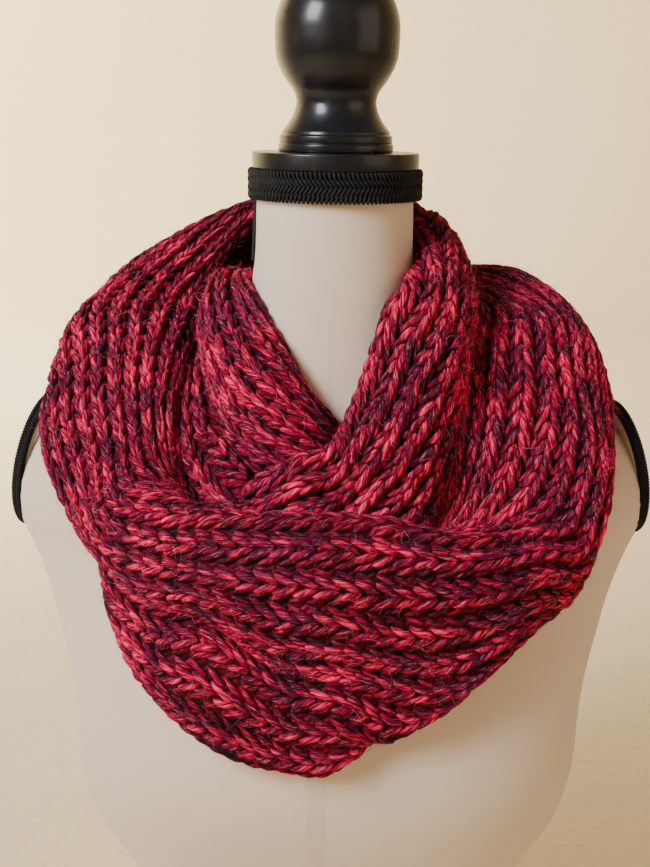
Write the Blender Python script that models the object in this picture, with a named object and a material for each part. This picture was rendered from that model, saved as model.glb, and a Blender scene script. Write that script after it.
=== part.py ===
"""Chunky ribbed infinity scarf, wound twice round a limbless tabletop dress form.

Metres, +Z up, the wearer's front towards -Y. Everything is built round the neck's axis and then moved
so that the origin is the middle of the bounding box's floor. Cloth is built as lofted walls. A section
of a stretch of cloth lies in a plane through the neck's axis and is given by a few points across it.
Angles go round that axis: 0 is the front, 90 the viewer's right, -90 the viewer's left, 180 the nape.
"""

import math

import bmesh
import bpy
import numpy as np
from mathutils import Vector
from mathutils.bvhtree import BVHTree

MM = 0.001

# ---- the dress form ----
NECK_TOP = 0.690
NECK_RADIUS = 0.0525
TORSO_SIDES = 36

# height, half width, depth to the front, depth to the back (mm), fullness of the oval
TORSO_SECTIONS = (
    (0, 168, 98, 117, 2.3),
    (45, 159, 93, 108, 2.3),
    (95, 149, 87, 95, 2.3),
    (145, 147, 86, 88, 2.3),
    (171, 153, 89, 89, 2.3),
    (192, 164, 95, 91, 2.3),
    (213, 175, 102, 93, 2.35),
    (236, 182, 111, 96, 2.4),
    (270, 186, 121, 100, 2.5),
    (308, 187, 124, 105, 2.5),
    (340, 190, 118, 109, 2.5),
    (371, 197, 110, 113, 2.4),
    (395, 203, 103, 116, 2.3),
    (418, 210, 96, 117, 2.3),
    (438, 219, 90, 117, 2.2),
    (462, 233, 84, 113, 2.15),
    (484, 237, 77, 107, 2.12),
    (502, 226, 71, 101, 2.06),
    (518, 202, 66, 95, 2.0),
    (531, 172, 62, 88, 2.0),
    (542, 142, 59, 81, 2.0),
    (553, 114, 57, 74, 2.0),
    (565, 90, 56, 67, 2.0),
    (579, 72, 55, 61, 2.0),
    (597, 61, 54.2, 57, 2.0),
    (622, 55, 53.6, 54.5, 2.0),
    (660, 52.8, 52.7, 52.8, 2.0),
    (690, 52.5, 52.5, 52.5, 2.0),
)

# The armholes' flat ends: their plane leans in towards the top and turns a little to the back.
ARM_TOP = Vector((0.1935, 0.0, 0.533))
ARM_BOTTOM = Vector((0.2115, 0.0, 0.436))
ARM_TURN = 0.26
ARM_DEPTH = -0.002
ARM_HALF_HEIGHT = 0.0485
ARM_HALF_DEPTH = 0.0370
ARM_PLATE_THICK = 0.0070
ARM_DOME = 0.0025
ARM_SIDES = 32
TRIM_THICK = 0.0028
SEAM_GAP = 0.0004

BRAID_LOW = 0.6725
BRAID_HIGH = 0.6895
BRAID_THICK = 0.0036
BRAID_SIDES = 40
TAPE_WIDTH = 0.016
TAPE_THICK = 0.0016
TAPE_ANGLE = -98
TAPE_LOW = 0.629

DISC_RADIUS = 0.0556
DISC_THICK = 0.0110
FINIAL_BALL = 0.0407
FINIAL_BALL_HEIGHT = 0.7775
FINIAL_SIDES = 28
# The knob's underside and waist: radius, and how far below the ball's middle.
BULB = (
    (0.0346, 0.0617),
    (0.0312, 0.0572),
    (0.0275, 0.0500),
    (0.0263, 0.0440),
    (0.0281, 0.0378),
    (0.0314, 0.0332),
    (0.0355, 0.0270),
    (0.0393, 0.0182),
    (0.0404, 0.0093),
)

# ---- the cloth ----
HALF_WALL = 0.0024
RIB_RISE = 0.0036
BACK_RIB_RISE = 0.0016
FORM_GAP = 0.0016
FOLD_GAP = 0.0020
WRAP_GAP = 0.0024
SPLIT_GAP = 0.00016
SPLIT_RADIUS = 0.1
LEAST_WALL = 0.0006
LEAST_STRETCH = 0.5
TAME_ROUNDS = 24
TAME_STEP = 0.9
LEAST_PITCH = 0.34
EVEN_STEPS = 61

# Where the points of the section tables lie, as shares of the width from the outer hem.
GUIDES = (0, 0.143, 0.25, 0.357, 0.5, 0.607, 0.75, 0.857, 1)

# The cloth has fourteen ribs. Where it narrows, the ones at its edges roll under and out of sight.
# Each row gives an angle, the first and last rib that show there and how the ribs are spread: 0 by the
# guide points' shares, 1 evenly by length.
OUTER_SHOWN = (
    (-180, 3, 11, 0),
    (-150, 2.4, 11.6, 0),
    (-110, 1.3, 12.7, 0),
    (-75, 0.4, 13.6, 0.5),
    (-50, 0, 14, 0.5),
    (-30, 0, 14, 0),
    (180, 0, 14, 0),
)
OVER_SHOWN = ((-28, 3, 11, 0.85), (100, 3, 11, 0.85), (150, 3, 11, 0), (180, 3, 11, 0))
UNDER_SHOWN = ((-180, 0, 14, 0), (-150, 1, 13, 0.3), (-105, 3, 10, 0.8), (3, 3, 10, 0.8))
TUCKED_SHOWN = ((-108, 0, 3, 0.8), (-28.5, 0, 3, 0.8))

# Each row is a section: its angle in degrees, then (radius, height) in mm of each guide point.
OUTER_WRAP = (
    (-180, (88, 572), (91, 589), (92, 601), (93, 613), (92, 630),
     (89, 643), (82, 657), (71, 663), (62, 640)),
    (-165, (103, 587), (104, 597), (103, 607), (102, 617), (98, 632),
     (93, 645), (85, 657), (75, 662), (66, 644)),
    (-150, (123, 587), (122, 598), (118, 609), (113, 619), (106, 633),
     (98, 645), (88, 657), (78, 661), (70, 648)),
    (-135, (139, 569), (139, 585), (135, 601), (129, 616), (118, 636),
     (109, 648), (98, 656), (90, 658), (84, 648)),
    (-122, (142, 564), (145, 580), (144, 597), (138, 614), (129, 632),
     (120, 641), (107, 643), (99, 640), (93, 627)),
    (-108, (148, 560), (156, 572), (161, 585), (160, 600), (151, 615),
     (140, 621), (122, 622), (110, 617), (99, 605)),
    (-95, (142, 567), (156, 566), (167, 568), (173, 576), (168, 592),
     (156, 601), (135, 604), (118, 600), (97, 591)),
    (-85, (140, 562), (156, 556), (170, 556), (180, 562), (178, 577),
     (166, 588), (142, 592), (121, 589), (98, 579)),
    (-75, (177, 515), (186, 508), (192, 513), (194, 524), (182, 546),
     (165, 561), (141, 573), (122, 577), (102, 571)),
    (-67, (168, 475), (177, 474), (183, 483), (191, 496), (183, 516),
     (166, 534), (144, 549), (126, 558), (110, 561)),
    (-60, (161, 427), (168, 441), (172, 454), (180, 465), (177, 487),
     (161, 508), (142, 527), (131, 535), (121, 540)),
    (-53, (166, 400), (172, 426), (167, 445), (177, 458), (174, 481),
     (158, 499), (141, 505), (134, 502), (129, 497)),
    (-45, (166, 374), (168, 415), (159, 435), (171, 448), (168, 474),
     (154, 491), (139, 484), (134, 471), (131, 456)),
    (-30, (153, 339), (161, 402), (147, 424), (159, 441), (159, 466),
     (147, 489), (134, 476), (130, 458), (128, 438)),
    (-12, (137, 322), (147, 371), (139, 398), (148, 424), (150, 467),
     (139, 490), (132, 466), (130, 446), (129, 424)),
    (2, (135, 323), (145, 366), (142, 396), (148, 422), (150, 466),
     (138, 491), (132, 466), (130, 446), (129, 424)),
    (16, (127, 356), (140, 349), (147, 386), (148, 411), (153, 462),
     (143, 487), (135, 468), (130, 455), (127, 440)),
    (30, (138, 376), (149, 369), (156, 383), (157, 411), (165, 460),
     (155, 478), (142, 472), (130, 464), (119, 455)),
    (45, (148, 410), (158, 403), (167, 410), (176, 431), (179, 461),
     (166, 474), (148, 476), (131, 479), (112, 479)),
    (60, (155, 436), (165, 429), (174, 431), (181, 435), (187, 459),
     (177, 482), (154, 507), (130, 524), (101, 537)),
    (68, (163, 485), (172, 477), (182, 475), (190, 484), (190, 501),
     (178, 519), (153, 540), (126, 554), (96, 555)),
    (75, (169, 520), (178, 514), (185, 512), (189, 521), (181, 537),
     (168, 551), (146, 565), (122, 573), (95, 571)),
    (90, (150, 566), (162, 560), (172, 560), (178, 566), (173, 580),
     (161, 588), (142, 590), (122, 589), (99, 590)),
    (107, (146, 572), (154, 580), (158, 588), (158, 597), (150, 609),
     (139, 611), (124, 602), (114, 601), (102, 592)),
    (125, (140, 556), (145, 568), (147, 580), (146, 593), (138, 610),
     (128, 613), (116, 602), (109, 599), (102, 589)),
    (150, (134, 515), (139, 533), (138, 551), (133, 568), (121, 588),
     (112, 591), (106, 577), (105, 566), (104, 552)),
    (180, (124, 478), (131, 502), (131, 522), (127, 543), (116, 569),
     (107, 575), (103, 554), (106, 537), (111, 512)),
)
OVER_STRAND = (
    (-28, (115, 399), (116, 416), (116, 428), (116, 440), (116, 457),
     (116, 471), (114, 488), (111, 497), (106, 498)),
    (-20, (114, 402), (115, 420), (115, 433), (115, 447), (115, 464),
     (115, 478), (113, 495), (110, 503), (104, 504)),
    (-10, (114, 410), (115, 431), (115, 446), (115, 460), (115, 478),
     (114, 491), (112, 507), (107, 515), (100, 514)),
    (0, (115, 416), (115, 434), (115, 446), (115, 458), (113, 476),
     (112, 489), (108, 505), (101, 517), (91, 519)),
    (12, (112, 420), (113, 441), (113, 456), (112, 469), (110, 486),
     (107, 500), (100, 520), (84, 536), (71, 532)),
    (25, (109, 434), (111, 453), (112, 469), (111, 480), (109, 497),
     (106, 512), (98, 535), (79, 566), (62, 572)),
    (32, (106, 453), (108, 472), (110, 487), (109, 498), (108, 514),
     (106, 528), (99, 547), (76, 585), (61, 596)),
    (38, (105, 469), (107, 488), (107, 504), (106, 515), (104, 533),
     (102, 548), (96, 568), (78, 600), (60.5, 609)),
    (50, (103, 513), (102, 526), (101, 540), (101, 549), (100, 565),
     (98, 580), (90, 600), (76, 617), (60.5, 613)),
    (65, (92, 568), (92, 574), (93, 580), (93, 587), (93, 598),
     (90, 610), (81, 626), (70, 631), (60.5, 619)),
    (80, (89, 583), (91, 589), (92, 594), (92, 600), (90, 612),
     (85, 624), (75, 637), (67, 638), (60.5, 623)),
    (95, (87, 591), (89, 598), (90, 604), (89, 612), (87, 625),
     (82, 636), (72, 646), (65, 643), (60.5, 627)),
    (110, (88, 592), (90, 600), (91, 608), (91, 616), (89, 629),
     (84, 641), (75, 652), (67, 652), (61, 630)),
    (130, (88, 585), (91, 597), (92, 606), (92, 616), (91, 630),
     (87, 643), (79, 655), (69, 658), (62, 634)),
    (150, (88, 577), (91, 592), (92, 603), (93, 614), (92, 630),
     (89, 643), (81, 656), (70, 661), (62, 638)),
    (180, (88, 572), (91, 589), (92, 601), (93, 613), (92, 630),
     (89, 643), (82, 657), (71, 663), (62, 640)),
)
UNDER_STRAND = (
    (-180, (124, 478), (131, 502), (131, 522), (127, 543), (116, 569),
     (107, 575), (103, 554), (106, 537), (111, 512)),
    (-150, (134, 504), (137, 522), (134, 537), (129, 552), (115, 573),
     (106, 577), (100, 568), (101, 558), (104, 546)),
    (-130, (124, 548), (121, 558), (117, 566), (112, 575), (103, 586),
     (96, 590), (88, 587), (86, 580), (86, 572)),
    (-110, (91, 588), (92, 594), (92, 601), (89, 607), (83, 613),
     (77, 614), (71, 612), (67, 611), (62, 614)),
    (-90, (81, 589), (83, 594), (83, 600), (82, 606), (79, 613),
     (75, 616), (69, 614), (65, 614), (60.5, 618)),
    (-65, (88, 571), (90, 575), (92, 581), (91, 589), (87, 601),
     (81, 607), (73, 607), (67, 607), (60.5, 611)),
    (-50, (90, 540), (93, 545), (95, 552), (95, 563), (92, 580),
     (86, 590), (75, 594), (68, 595), (61, 600)),
    (-35, (88, 511), (92, 515), (97, 523), (98, 537), (95, 556),
     (88, 570), (77, 577), (69, 578), (61.5, 583)),
    (-22, (88, 501), (92, 505), (96, 512), (96, 523), (93, 541),
     (87, 553), (77, 559), (70, 560), (63, 563)),
    (-9, (83, 494), (86, 497), (88, 503), (88, 512), (85, 526),
     (82, 534), (77, 540), (71, 541), (66, 541)),
    (-3, (77, 487), (79, 492), (81, 499), (81, 508), (79, 519),
     (77, 526), (73, 531), (69, 533), (65, 533)),
    (3, (72, 481), (73, 486), (74, 491), (74, 497), (73, 505),
     (72, 510), (70, 515), (67, 518), (64, 520)),
)

TUCKED_GUIDES = (0, 0.4, 0.75, 1)
TUCKED_FOLD = (
    (-108, (98, 572), (94, 574), (89, 576), (86, 578)),
    (-94, (101, 569), (95, 572), (90, 575), (87, 577)),
    (-80, (104, 562), (97, 566), (91, 570), (86, 572)),
    (-69, (109, 550), (103, 554), (97, 559), (91, 562)),
    (-61, (117, 520), (109, 536), (102, 543), (94, 547)),
    (-55, (122, 478), (114, 502), (105, 520), (94, 532)),
    (-49, (121, 464), (113, 490), (105, 512), (91, 526)),
    (-42, (120, 460), (113, 485), (107, 506), (93, 515)),
    (-35, (118, 460), (113, 484), (109, 500), (97, 503)),
    (-28.5, (117, 462), (114, 482), (110, 496), (100, 499)),
)


# ---- helpers ----
def clear_scene():
    for item in list(bpy.data.objects):
        bpy.data.objects.remove(item, do_unlink=True)


def material(name, colour, roughness, metallic=0.0):
    """A plain finish of one colour."""
    finish = bpy.data.materials.new(name)
    finish.use_nodes = True
    shader = finish.node_tree.nodes["Principled BSDF"]
    shader.inputs["Base Color"].default_value = (*colour, 1.0)
    shader.inputs["Roughness"].default_value = roughness
    shader.inputs["Metallic"].default_value = metallic
    return finish


def add_object(name, points, faces, finish, sharp_angle=50):
    """Make a named closed solid from points and faces, shaded smooth."""
    mesh = bpy.data.meshes.new(name)
    mesh.from_pydata([tuple(p) for p in points], [], faces)
    mesh.materials.append(finish)
    shape = bmesh.new()
    shape.from_mesh(mesh)
    bmesh.ops.recalc_face_normals(shape, faces=shape.faces)
    shape.to_mesh(mesh)
    shape.free()
    mesh.shade_smooth()
    mesh.set_sharp_from_angle(angle=math.radians(sharp_angle))
    item = bpy.data.objects.new(name, mesh)
    bpy.context.scene.collection.objects.link(item)
    return item


def smooth(knots, values, at):
    """Read a smooth curve through rows of values, given at knots, at other places."""
    knots = np.asarray(knots, float)
    values = np.asarray(values, float)
    at = np.asarray(at, float)
    slopes = np.gradient(values, knots, axis=0)
    first = np.clip(np.searchsorted(knots, at, side="right") - 1, 0, len(knots) - 2)
    shape = (-1,) + (1,) * (values.ndim - 1)
    span = (knots[first + 1] - knots[first]).reshape(shape)
    t = (at - knots[first]).reshape(shape) / span
    return (
        values[first] * (2 * t**3 - 3 * t**2 + 1)
        + slopes[first] * span * (t**3 - 2 * t**2 + t)
        + values[first + 1] * (3 * t**2 - 2 * t**3)
        + slopes[first + 1] * span * (t**3 - t**2)
    )


def polar(angle, radius, height):
    """A point round the neck's axis; the angle is in degrees from the front."""
    turn = math.radians(angle)
    return Vector((radius * math.sin(turn), -radius * math.cos(turn), height))


def ring_faces(rings, sides):
    """Faces between rings of points that each have the same number of sides, capped at both ends."""
    faces = []
    for ring in range(rings - 1):
        for side in range(sides):
            after = (side + 1) % sides
            low, high = ring * sides, (ring + 1) * sides
            faces.append((low + side, low + after, high + after, high + side))
    faces.append(tuple(range(sides)))
    faces.append(tuple(range((rings - 1) * sides, rings * sides)))
    return faces


def turned(name, profile, sides, finish, sharp_angle=40):
    """Turn a profile of (radius, height) round the neck's axis, with flat ends."""
    points = [
        polar(360 * side / sides, radius, height) for radius, height in profile for side in range(sides)
    ]
    return add_object(name, points, ring_faces(len(profile), sides), finish, sharp_angle)


def band(name, centre_line, section, finish):
    """Sweep a closed section round a closed line; each place gives its point, outward and across."""
    points = []
    for point, outward, across in centre_line:
        for out, side in section:
            points.append(point + outward * out + across * side)
    count, sides = len(centre_line), len(section)
    faces = []
    for place in range(count):
        after = (place + 1) % count
        for side in range(sides):
            following = (side + 1) % sides
            faces.append((
                place * sides + side,
                place * sides + following,
                after * sides + following,
                after * sides + side,
            ))
    return add_object(name, points, faces, finish)


# ---- the dress form ----
def arm_plane(depth, height):
    """How far out the flat end of an armhole lies at a depth and a height."""
    lean = (ARM_TOP.x - ARM_BOTTOM.x) / (ARM_TOP.z - ARM_BOTTOM.z)
    return ARM_BOTTOM.x + lean * (height - ARM_BOTTOM.z) - ARM_TURN * (depth - ARM_DEPTH)


def torso_ring(row):
    """One level oval of the torso, its arm ends cut flat."""
    height, half_width, front, back, fullness = row
    points = []
    for side in range(TORSO_SIDES):
        turn = 2 * math.pi * side / TORSO_SIDES
        across, along = math.sin(turn), -math.cos(turn)
        depth = front if along < 0 else back
        x = half_width * MM * math.copysign(abs(across) ** (2 / fullness), across)
        y = depth * MM * math.copysign(abs(along) ** (2 / fullness), along)
        z = height * MM
        limit = arm_plane(y, z)
        points.append(Vector((max(-limit, min(limit, x)), y, z)))
    return points


def make_torso(finish):
    points = [point for row in TORSO_SECTIONS for point in torso_ring(row)]
    return add_object("form_torso", points, ring_faces(len(TORSO_SECTIONS), TORSO_SIDES), finish)


def arm_axes(hand):
    """Centre, outward, upward and forward directions of an armhole's flat end."""
    upward = Vector((hand * (ARM_TOP.x - ARM_BOTTOM.x), 0, ARM_TOP.z - ARM_BOTTOM.z)).normalized()
    forward = Vector((hand * ARM_TURN, -1, 0)).normalized()
    outward = upward.cross(forward).normalized()
    if outward.x * hand < 0:
        outward = -outward
    forward = (forward - upward * forward.dot(upward)).normalized()
    middle = (ARM_TOP + ARM_BOTTOM) / 2
    return Vector((hand * middle.x, ARM_DEPTH, middle.z)), outward, upward, forward


def arm_rim(hand, grow, out):
    """Points round an armhole's oval, grown by a margin and moved outwards."""
    centre, outward, upward, forward = arm_axes(hand)
    rim = []
    for side in range(ARM_SIDES):
        turn = 2 * math.pi * side / ARM_SIDES
        rim.append(
            centre
            + outward * out
            + upward * ((ARM_HALF_HEIGHT + grow) * math.sin(turn))
            + forward * ((ARM_HALF_DEPTH + grow) * math.cos(turn))
        )
    return rim


def make_arm_plate(name, hand, finish):
    """A flat padded disc that closes an armhole, with a slightly domed face."""
    rings = [arm_rim(hand, -TRIM_THICK - SEAM_GAP, SEAM_GAP)]
    rings.append(arm_rim(hand, -TRIM_THICK - SEAM_GAP, SEAM_GAP + ARM_PLATE_THICK - 0.0015))
    for inset, rise in ((0.0012, 0.0), (0.012, 0.6), (0.026, 1.0)):
        rings.append(arm_rim(hand, -TRIM_THICK - inset, SEAM_GAP + ARM_PLATE_THICK + rise * ARM_DOME))
    points = [point for ring in rings for point in ring]
    return add_object(name, points, ring_faces(len(rings), ARM_SIDES), finish)


def make_arm_trim(name, hand, finish):
    """Black braid round the rim of an arm plate."""
    centre, outward, upward, forward = arm_axes(hand)
    inner = arm_rim(hand, -TRIM_THICK, 0)
    outer = arm_rim(hand, 0, 0)
    line = [(a, (b - a).normalized(), outward) for a, b in zip(inner, outer)]
    low, high = SEAM_GAP, SEAM_GAP + ARM_PLATE_THICK
    section = (
        (0.0, low),
        (TRIM_THICK * 0.8, low),
        (TRIM_THICK, low + 0.3 * (high - low)),
        (TRIM_THICK, low + 0.7 * (high - low)),
        (TRIM_THICK * 0.8, high),
        (0.0, high),
    )
    return band(name, line, section, finish)


def make_neck_braid(finish):
    """Black gimp braid round the top of the neck."""
    line = []
    for side in range(BRAID_SIDES):
        angle = 360 * side / BRAID_SIDES
        outward = polar(angle, 1, 0)
        line.append((polar(angle, NECK_RADIUS + SEAM_GAP + 0.0003, BRAID_LOW), outward, Vector((0, 0, 1))))
    tall = BRAID_HIGH - BRAID_LOW
    section = (
        (0.0, 0.0),
        (BRAID_THICK * 0.75, 0.0),
        (BRAID_THICK, 0.25 * tall),
        (BRAID_THICK, 0.75 * tall),
        (BRAID_THICK * 0.75, tall),
        (0.0, tall),
    )
    return band("neck_braid", line, section, finish)


def make_neck_tape(finish, torso_tree):
    """A black tape that runs down the neck's side from under the braid."""
    columns, rows = 5, 5
    half_turn = math.degrees(TAPE_WIDTH / 2 / NECK_RADIUS)
    sheets = []
    for lift in (SEAM_GAP + 0.0002, SEAM_GAP + TAPE_THICK):
        sheet = []
        for row in range(rows):
            height = TAPE_LOW + (BRAID_LOW - SEAM_GAP - TAPE_LOW) * row / (rows - 1)
            for column in range(columns):
                angle = TAPE_ANGLE + half_turn * (2 * column / (columns - 1) - 1)
                place = polar(angle, 0.2, height)
                hit = torso_tree.ray_cast(place, -polar(angle, 1, 0))[0]
                sheet.append(hit + polar(angle, 1, 0) * lift)
        sheets.append(sheet)
    points = sheets[0] + sheets[1]
    count = rows * columns
    faces = []
    for row in range(rows - 1):
        for column in range(columns - 1):
            a = row * columns + column
            quad = (a, a + 1, a + columns + 1, a + columns)
            faces.append(quad)
            faces.append(tuple(count + corner for corner in reversed(quad)))
    rim = (
        list(range(columns))
        + [row * columns + columns - 1 for row in range(1, rows)]
        + [(rows - 1) * columns + column for column in range(columns - 2, -1, -1)]
        + [row * columns for row in range(rows - 2, 0, -1)]
    )
    for a, b in zip(rim, rim[1:] + rim[:1]):
        faces.append((b, a, count + a, count + b))
    return add_object("neck_tape", points, faces, finish)


def finial_profile():
    """The turned knob: stepped rings, a waisted neck and a ball."""
    foot = NECK_TOP + SEAM_GAP + DISC_THICK + SEAM_GAP
    profile = [
        (0.0382, foot),
        (0.0382, foot + 0.0045),
        (0.0372, foot + 0.0055),
        (0.0372, foot + 0.0095),
        (0.0354, foot + 0.0110),
    ]
    for radius, below in BULB:
        profile.append((radius, FINIAL_BALL_HEIGHT - below))
    for lift in range(0, 90, 14):
        turn = math.radians(lift)
        profile.append((FINIAL_BALL * math.cos(turn), FINIAL_BALL_HEIGHT + FINIAL_BALL * math.sin(turn)))
    return profile


def make_finial(finish):
    bottom = NECK_TOP + SEAM_GAP
    edge = 0.0012
    disc = (
        (DISC_RADIUS - edge, bottom),
        (DISC_RADIUS, bottom + edge),
        (DISC_RADIUS, bottom + DISC_THICK - edge),
        (DISC_RADIUS - edge, bottom + DISC_THICK),
    )
    turned("neck_disc", disc, FINIAL_SIDES, finish)
    turned("finial", finial_profile(), FINIAL_SIDES, finish)


# ---- the cloth ----
def rib_wave(place):
    """Height of the ribs, 0 in a valley and 1 on a rib's back, for a place counted in ribs."""
    return 1 - np.abs(2 * (np.asarray(place) % 1.0) - 1) ** 2.5


def middle_surface(rows, guides, angles, across, even):
    """Points of a stretch's middle surface for the given angles and shares of its width.

    even is how evenly the shares are spread at each angle: 0 by the guides, 1 by length.
    """
    sections = np.array([row[1:] for row in rows], float) * MM
    fine = np.linspace(0, 1, EVEN_STEPS)
    grid = []
    for angle, share, section in zip(angles, even, smooth([row[0] for row in rows], sections, angles)):
        steps = np.linalg.norm(np.diff(smooth(guides, section, fine), axis=0), axis=1)
        lengths = np.concatenate([[0], np.cumsum(steps)])
        spread = (1 - share) * fine + share * lengths / lengths[-1]
        radius, height = smooth(guides, section, np.interp(across, spread, fine)).T
        turn = math.radians(angle)
        grid.append(np.stack([radius * math.sin(turn), -radius * math.cos(turn), height], -1))
    return np.array(grid)


def face_normals(grid):
    """Unit normals of a grid of points, on the side that shows the cloth's face."""
    normal = np.cross(np.gradient(grid, axis=0), np.gradient(grid, axis=1))
    return normal / np.linalg.norm(normal, axis=-1, keepdims=True)


def keep_clear(grid, tree, back_rise, gap):
    """Move points that are inside the form, or so near that the wall would touch it, outwards."""
    facing = face_normals(grid)
    moved = grid.copy()
    for index in np.ndindex(grid.shape[:2]):
        point = Vector(grid[index])
        nearest, normal, _, _ = tree.find_nearest(point)
        side = normal.dot(Vector(facing[index]))
        rise = RIB_RISE if side < 0 else back_rise
        needed = (HALF_WALL + rise) * abs(side) + gap
        if (point - nearest).dot(normal) < needed:
            moved[index] = nearest + normal * needed
    return moved


def flat_ends(facing, angles):
    """Turn the first and last sections' directions into their own plane, so that cut ends stay flat."""
    for row in (0, -1):
        turn = math.radians(angles[row])
        along = np.array((math.cos(turn), math.sin(turn), 0.0))
        flat = facing[row] - np.outer(facing[row] @ along, along)
        facing[row] = flat / np.linalg.norm(flat, axis=1)[:, None]
    return facing


def tamed(grid, facing, rise):
    """Lower the rise where a tight bend would make the wall fold over itself."""
    for _ in range(TAME_ROUNDS):
        surface = grid + facing * rise[:, :, None]
        low = np.zeros(rise.shape, bool)
        for axis in (0, 1):
            middle = np.diff(grid, axis=axis)
            outer = np.diff(surface, axis=axis)
            turned_back = (middle * outer).sum(2) < LEAST_STRETCH * (middle * middle).sum(2)
            before = [slice(None), slice(None)]
            after = [slice(None), slice(None)]
            before[axis] = slice(0, -1)
            after[axis] = slice(1, None)
            low[tuple(before)] |= turned_back
            low[tuple(after)] |= turned_back
        if not low.any():
            break
        rise = np.where(low, np.sign(rise) * np.maximum(np.abs(rise) * TAME_STEP, LEAST_WALL), rise)
    return rise


def zip_edges(first, second):
    """Triangles between two open runs of point numbers that end side by side."""
    faces = []
    a = b = 0
    while a < len(first) - 1 or b < len(second) - 1:
        step_a = (a + 1) / (len(first) - 1)
        step_b = (b + 1) / (len(second) - 1)
        if b == len(second) - 1 or (a < len(first) - 1 and step_a <= step_b):
            faces.append((first[a], first[a + 1], second[b]))
            a += 1
        else:
            faces.append((first[a], second[b + 1], second[b]))
            b += 1
    return faces


def make_stretch(name, rows, guides, shown, size, finish, tree, back_ribs=False, gap=FORM_GAP):
    """A ribbed wall of cloth, lofted through its sections, with plain cut ends.

    size is how many stations it has along it, and steps across its face and across its back.
    """
    stations, face_steps, back_steps = size
    angles = np.linspace(rows[0][0], rows[-1][0], stations)
    step = SPLIT_GAP / SPLIT_RADIUS * 180 / math.pi
    angles[0] += step
    angles[-1] -= step
    shown_at = [row[0] for row in shown]
    first = np.interp(angles, shown_at, [row[1] for row in shown])[:, None]
    last = np.interp(angles, shown_at, [row[2] for row in shown])[:, None]
    even = np.interp(angles, shown_at, [row[3] for row in shown])
    surfaces = []
    for steps, side in ((face_steps, 1), (back_steps, -1)):
        across = np.linspace(0, 1, steps + 1)
        places = first + (last - first) * across[None, :]
        grid = middle_surface(rows, guides, angles, across, even)
        grid = keep_clear(grid, tree, BACK_RIB_RISE if back_ribs else 0.0, gap)
        facing = flat_ends(face_normals(grid), angles)
        pitch = np.linalg.norm(np.gradient(grid, axis=1), axis=2) * steps / (last - first)
        if side > 0:
            ribs_up = np.minimum(RIB_RISE, LEAST_PITCH * pitch) * rib_wave(places)
        elif back_ribs:
            ribs_up = np.minimum(BACK_RIB_RISE, LEAST_PITCH * pitch) * rib_wave(places + 0.5)
        else:
            ribs_up = np.zeros(pitch.shape)
        rise = tamed(grid, facing, side * (HALF_WALL + ribs_up))
        surfaces.append(grid + facing * rise[:, :, None])
    points = np.concatenate([surface.reshape(-1, 3) for surface in surfaces])
    faces = []
    starts = (0, surfaces[0].shape[0] * surfaces[0].shape[1])
    edges = []
    for surface, start, flip in zip(surfaces, starts, (False, True)):
        rows_count, columns = surface.shape[:2]
        for row in range(rows_count - 1):
            for column in range(columns - 1):
                a = start + row * columns + column
                quad = (a, a + columns, a + columns + 1, a + 1)
                faces.append(tuple(reversed(quad)) if flip else quad)
        edges.append({
            "first": [start + column for column in range(columns)],
            "last": [start + (rows_count - 1) * columns + column for column in range(columns)],
            "hem": [start + row * columns for row in range(rows_count)],
            "edge": [start + row * columns + columns - 1 for row in range(rows_count)],
        })
    for end in ("first", "last", "hem", "edge"):
        faces.extend(zip_edges(edges[0][end], edges[1][end]))
    return add_object(name, points, faces, finish, sharp_angle=70)


def centre_on_floor():
    """Move everything so that the origin is the middle of the bounding box's floor."""
    corners = [item.matrix_world @ vertex.co for item in bpy.data.objects for vertex in item.data.vertices]
    middle = [(min(c[axis] for c in corners) + max(c[axis] for c in corners)) / 2 for axis in (0, 1)]
    for item in bpy.data.objects:
        item.location -= Vector((middle[0], middle[1], min(c.z for c in corners)))


def main():
    clear_scene()
    jersey = material("form_jersey", (0.83, 0.78, 0.70), 0.85)
    black_braid = material("black_braid", (0.012, 0.013, 0.015), 0.8)
    black_wood = material("black_wood", (0.008, 0.008, 0.010), 0.25)
    red_knit = material("red_knit", (0.42, 0.015, 0.06), 0.9)

    torso = make_torso(jersey)
    tree = BVHTree.FromPolygons(
        [vertex.co for vertex in torso.data.vertices], [face.vertices for face in torso.data.polygons]
    )
    for name, hand in (("left", -1), ("right", 1)):
        make_arm_plate(f"arm_plate_{name}", hand, jersey)
        make_arm_trim(f"arm_trim_{name}", hand, black_braid)
    make_neck_braid(black_braid)
    make_neck_tape(black_braid, tree)
    make_finial(black_wood)

    outer_size, over_size, under_size, tucked_size = (46, 45, 28), (24, 32, 14), (25, 42, 14), (13, 12, 4)
    make_stretch(
        "outer_wrap", OUTER_WRAP, GUIDES, OUTER_SHOWN, outer_size, red_knit, tree, back_ribs=True, gap=WRAP_GAP
    )
    make_stretch("over_strand", OVER_STRAND, GUIDES, OVER_SHOWN, over_size, red_knit, tree)
    make_stretch("under_strand", UNDER_STRAND, GUIDES, UNDER_SHOWN, under_size, red_knit, tree)
    make_stretch(
        "tucked_fold", TUCKED_FOLD, TUCKED_GUIDES, TUCKED_SHOWN, tucked_size, red_knit, tree, gap=FOLD_GAP
    )
    centre_on_floor()



main()
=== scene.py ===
"""Dresses the packed infinity scarf and its dress form with yarn, jersey, braid and turned wood.

Metres, +Z up, the form's front towards -Y. Angles go round the neck's axis: 0 is the front, 90 the
viewer's right, -90 the viewer's left and 180 the nape. The cloth is rebuilt from the same sections as
its solids, with a finer wall, and yarn stitches laid along every rib.
"""

import math
from collections import namedtuple

import bpy
import numpy as np
from bpy.props import FloatProperty, FloatVectorProperty, IntProperty, PointerProperty
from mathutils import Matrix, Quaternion, Vector
from mathutils.bvhtree import BVHTree


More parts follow.
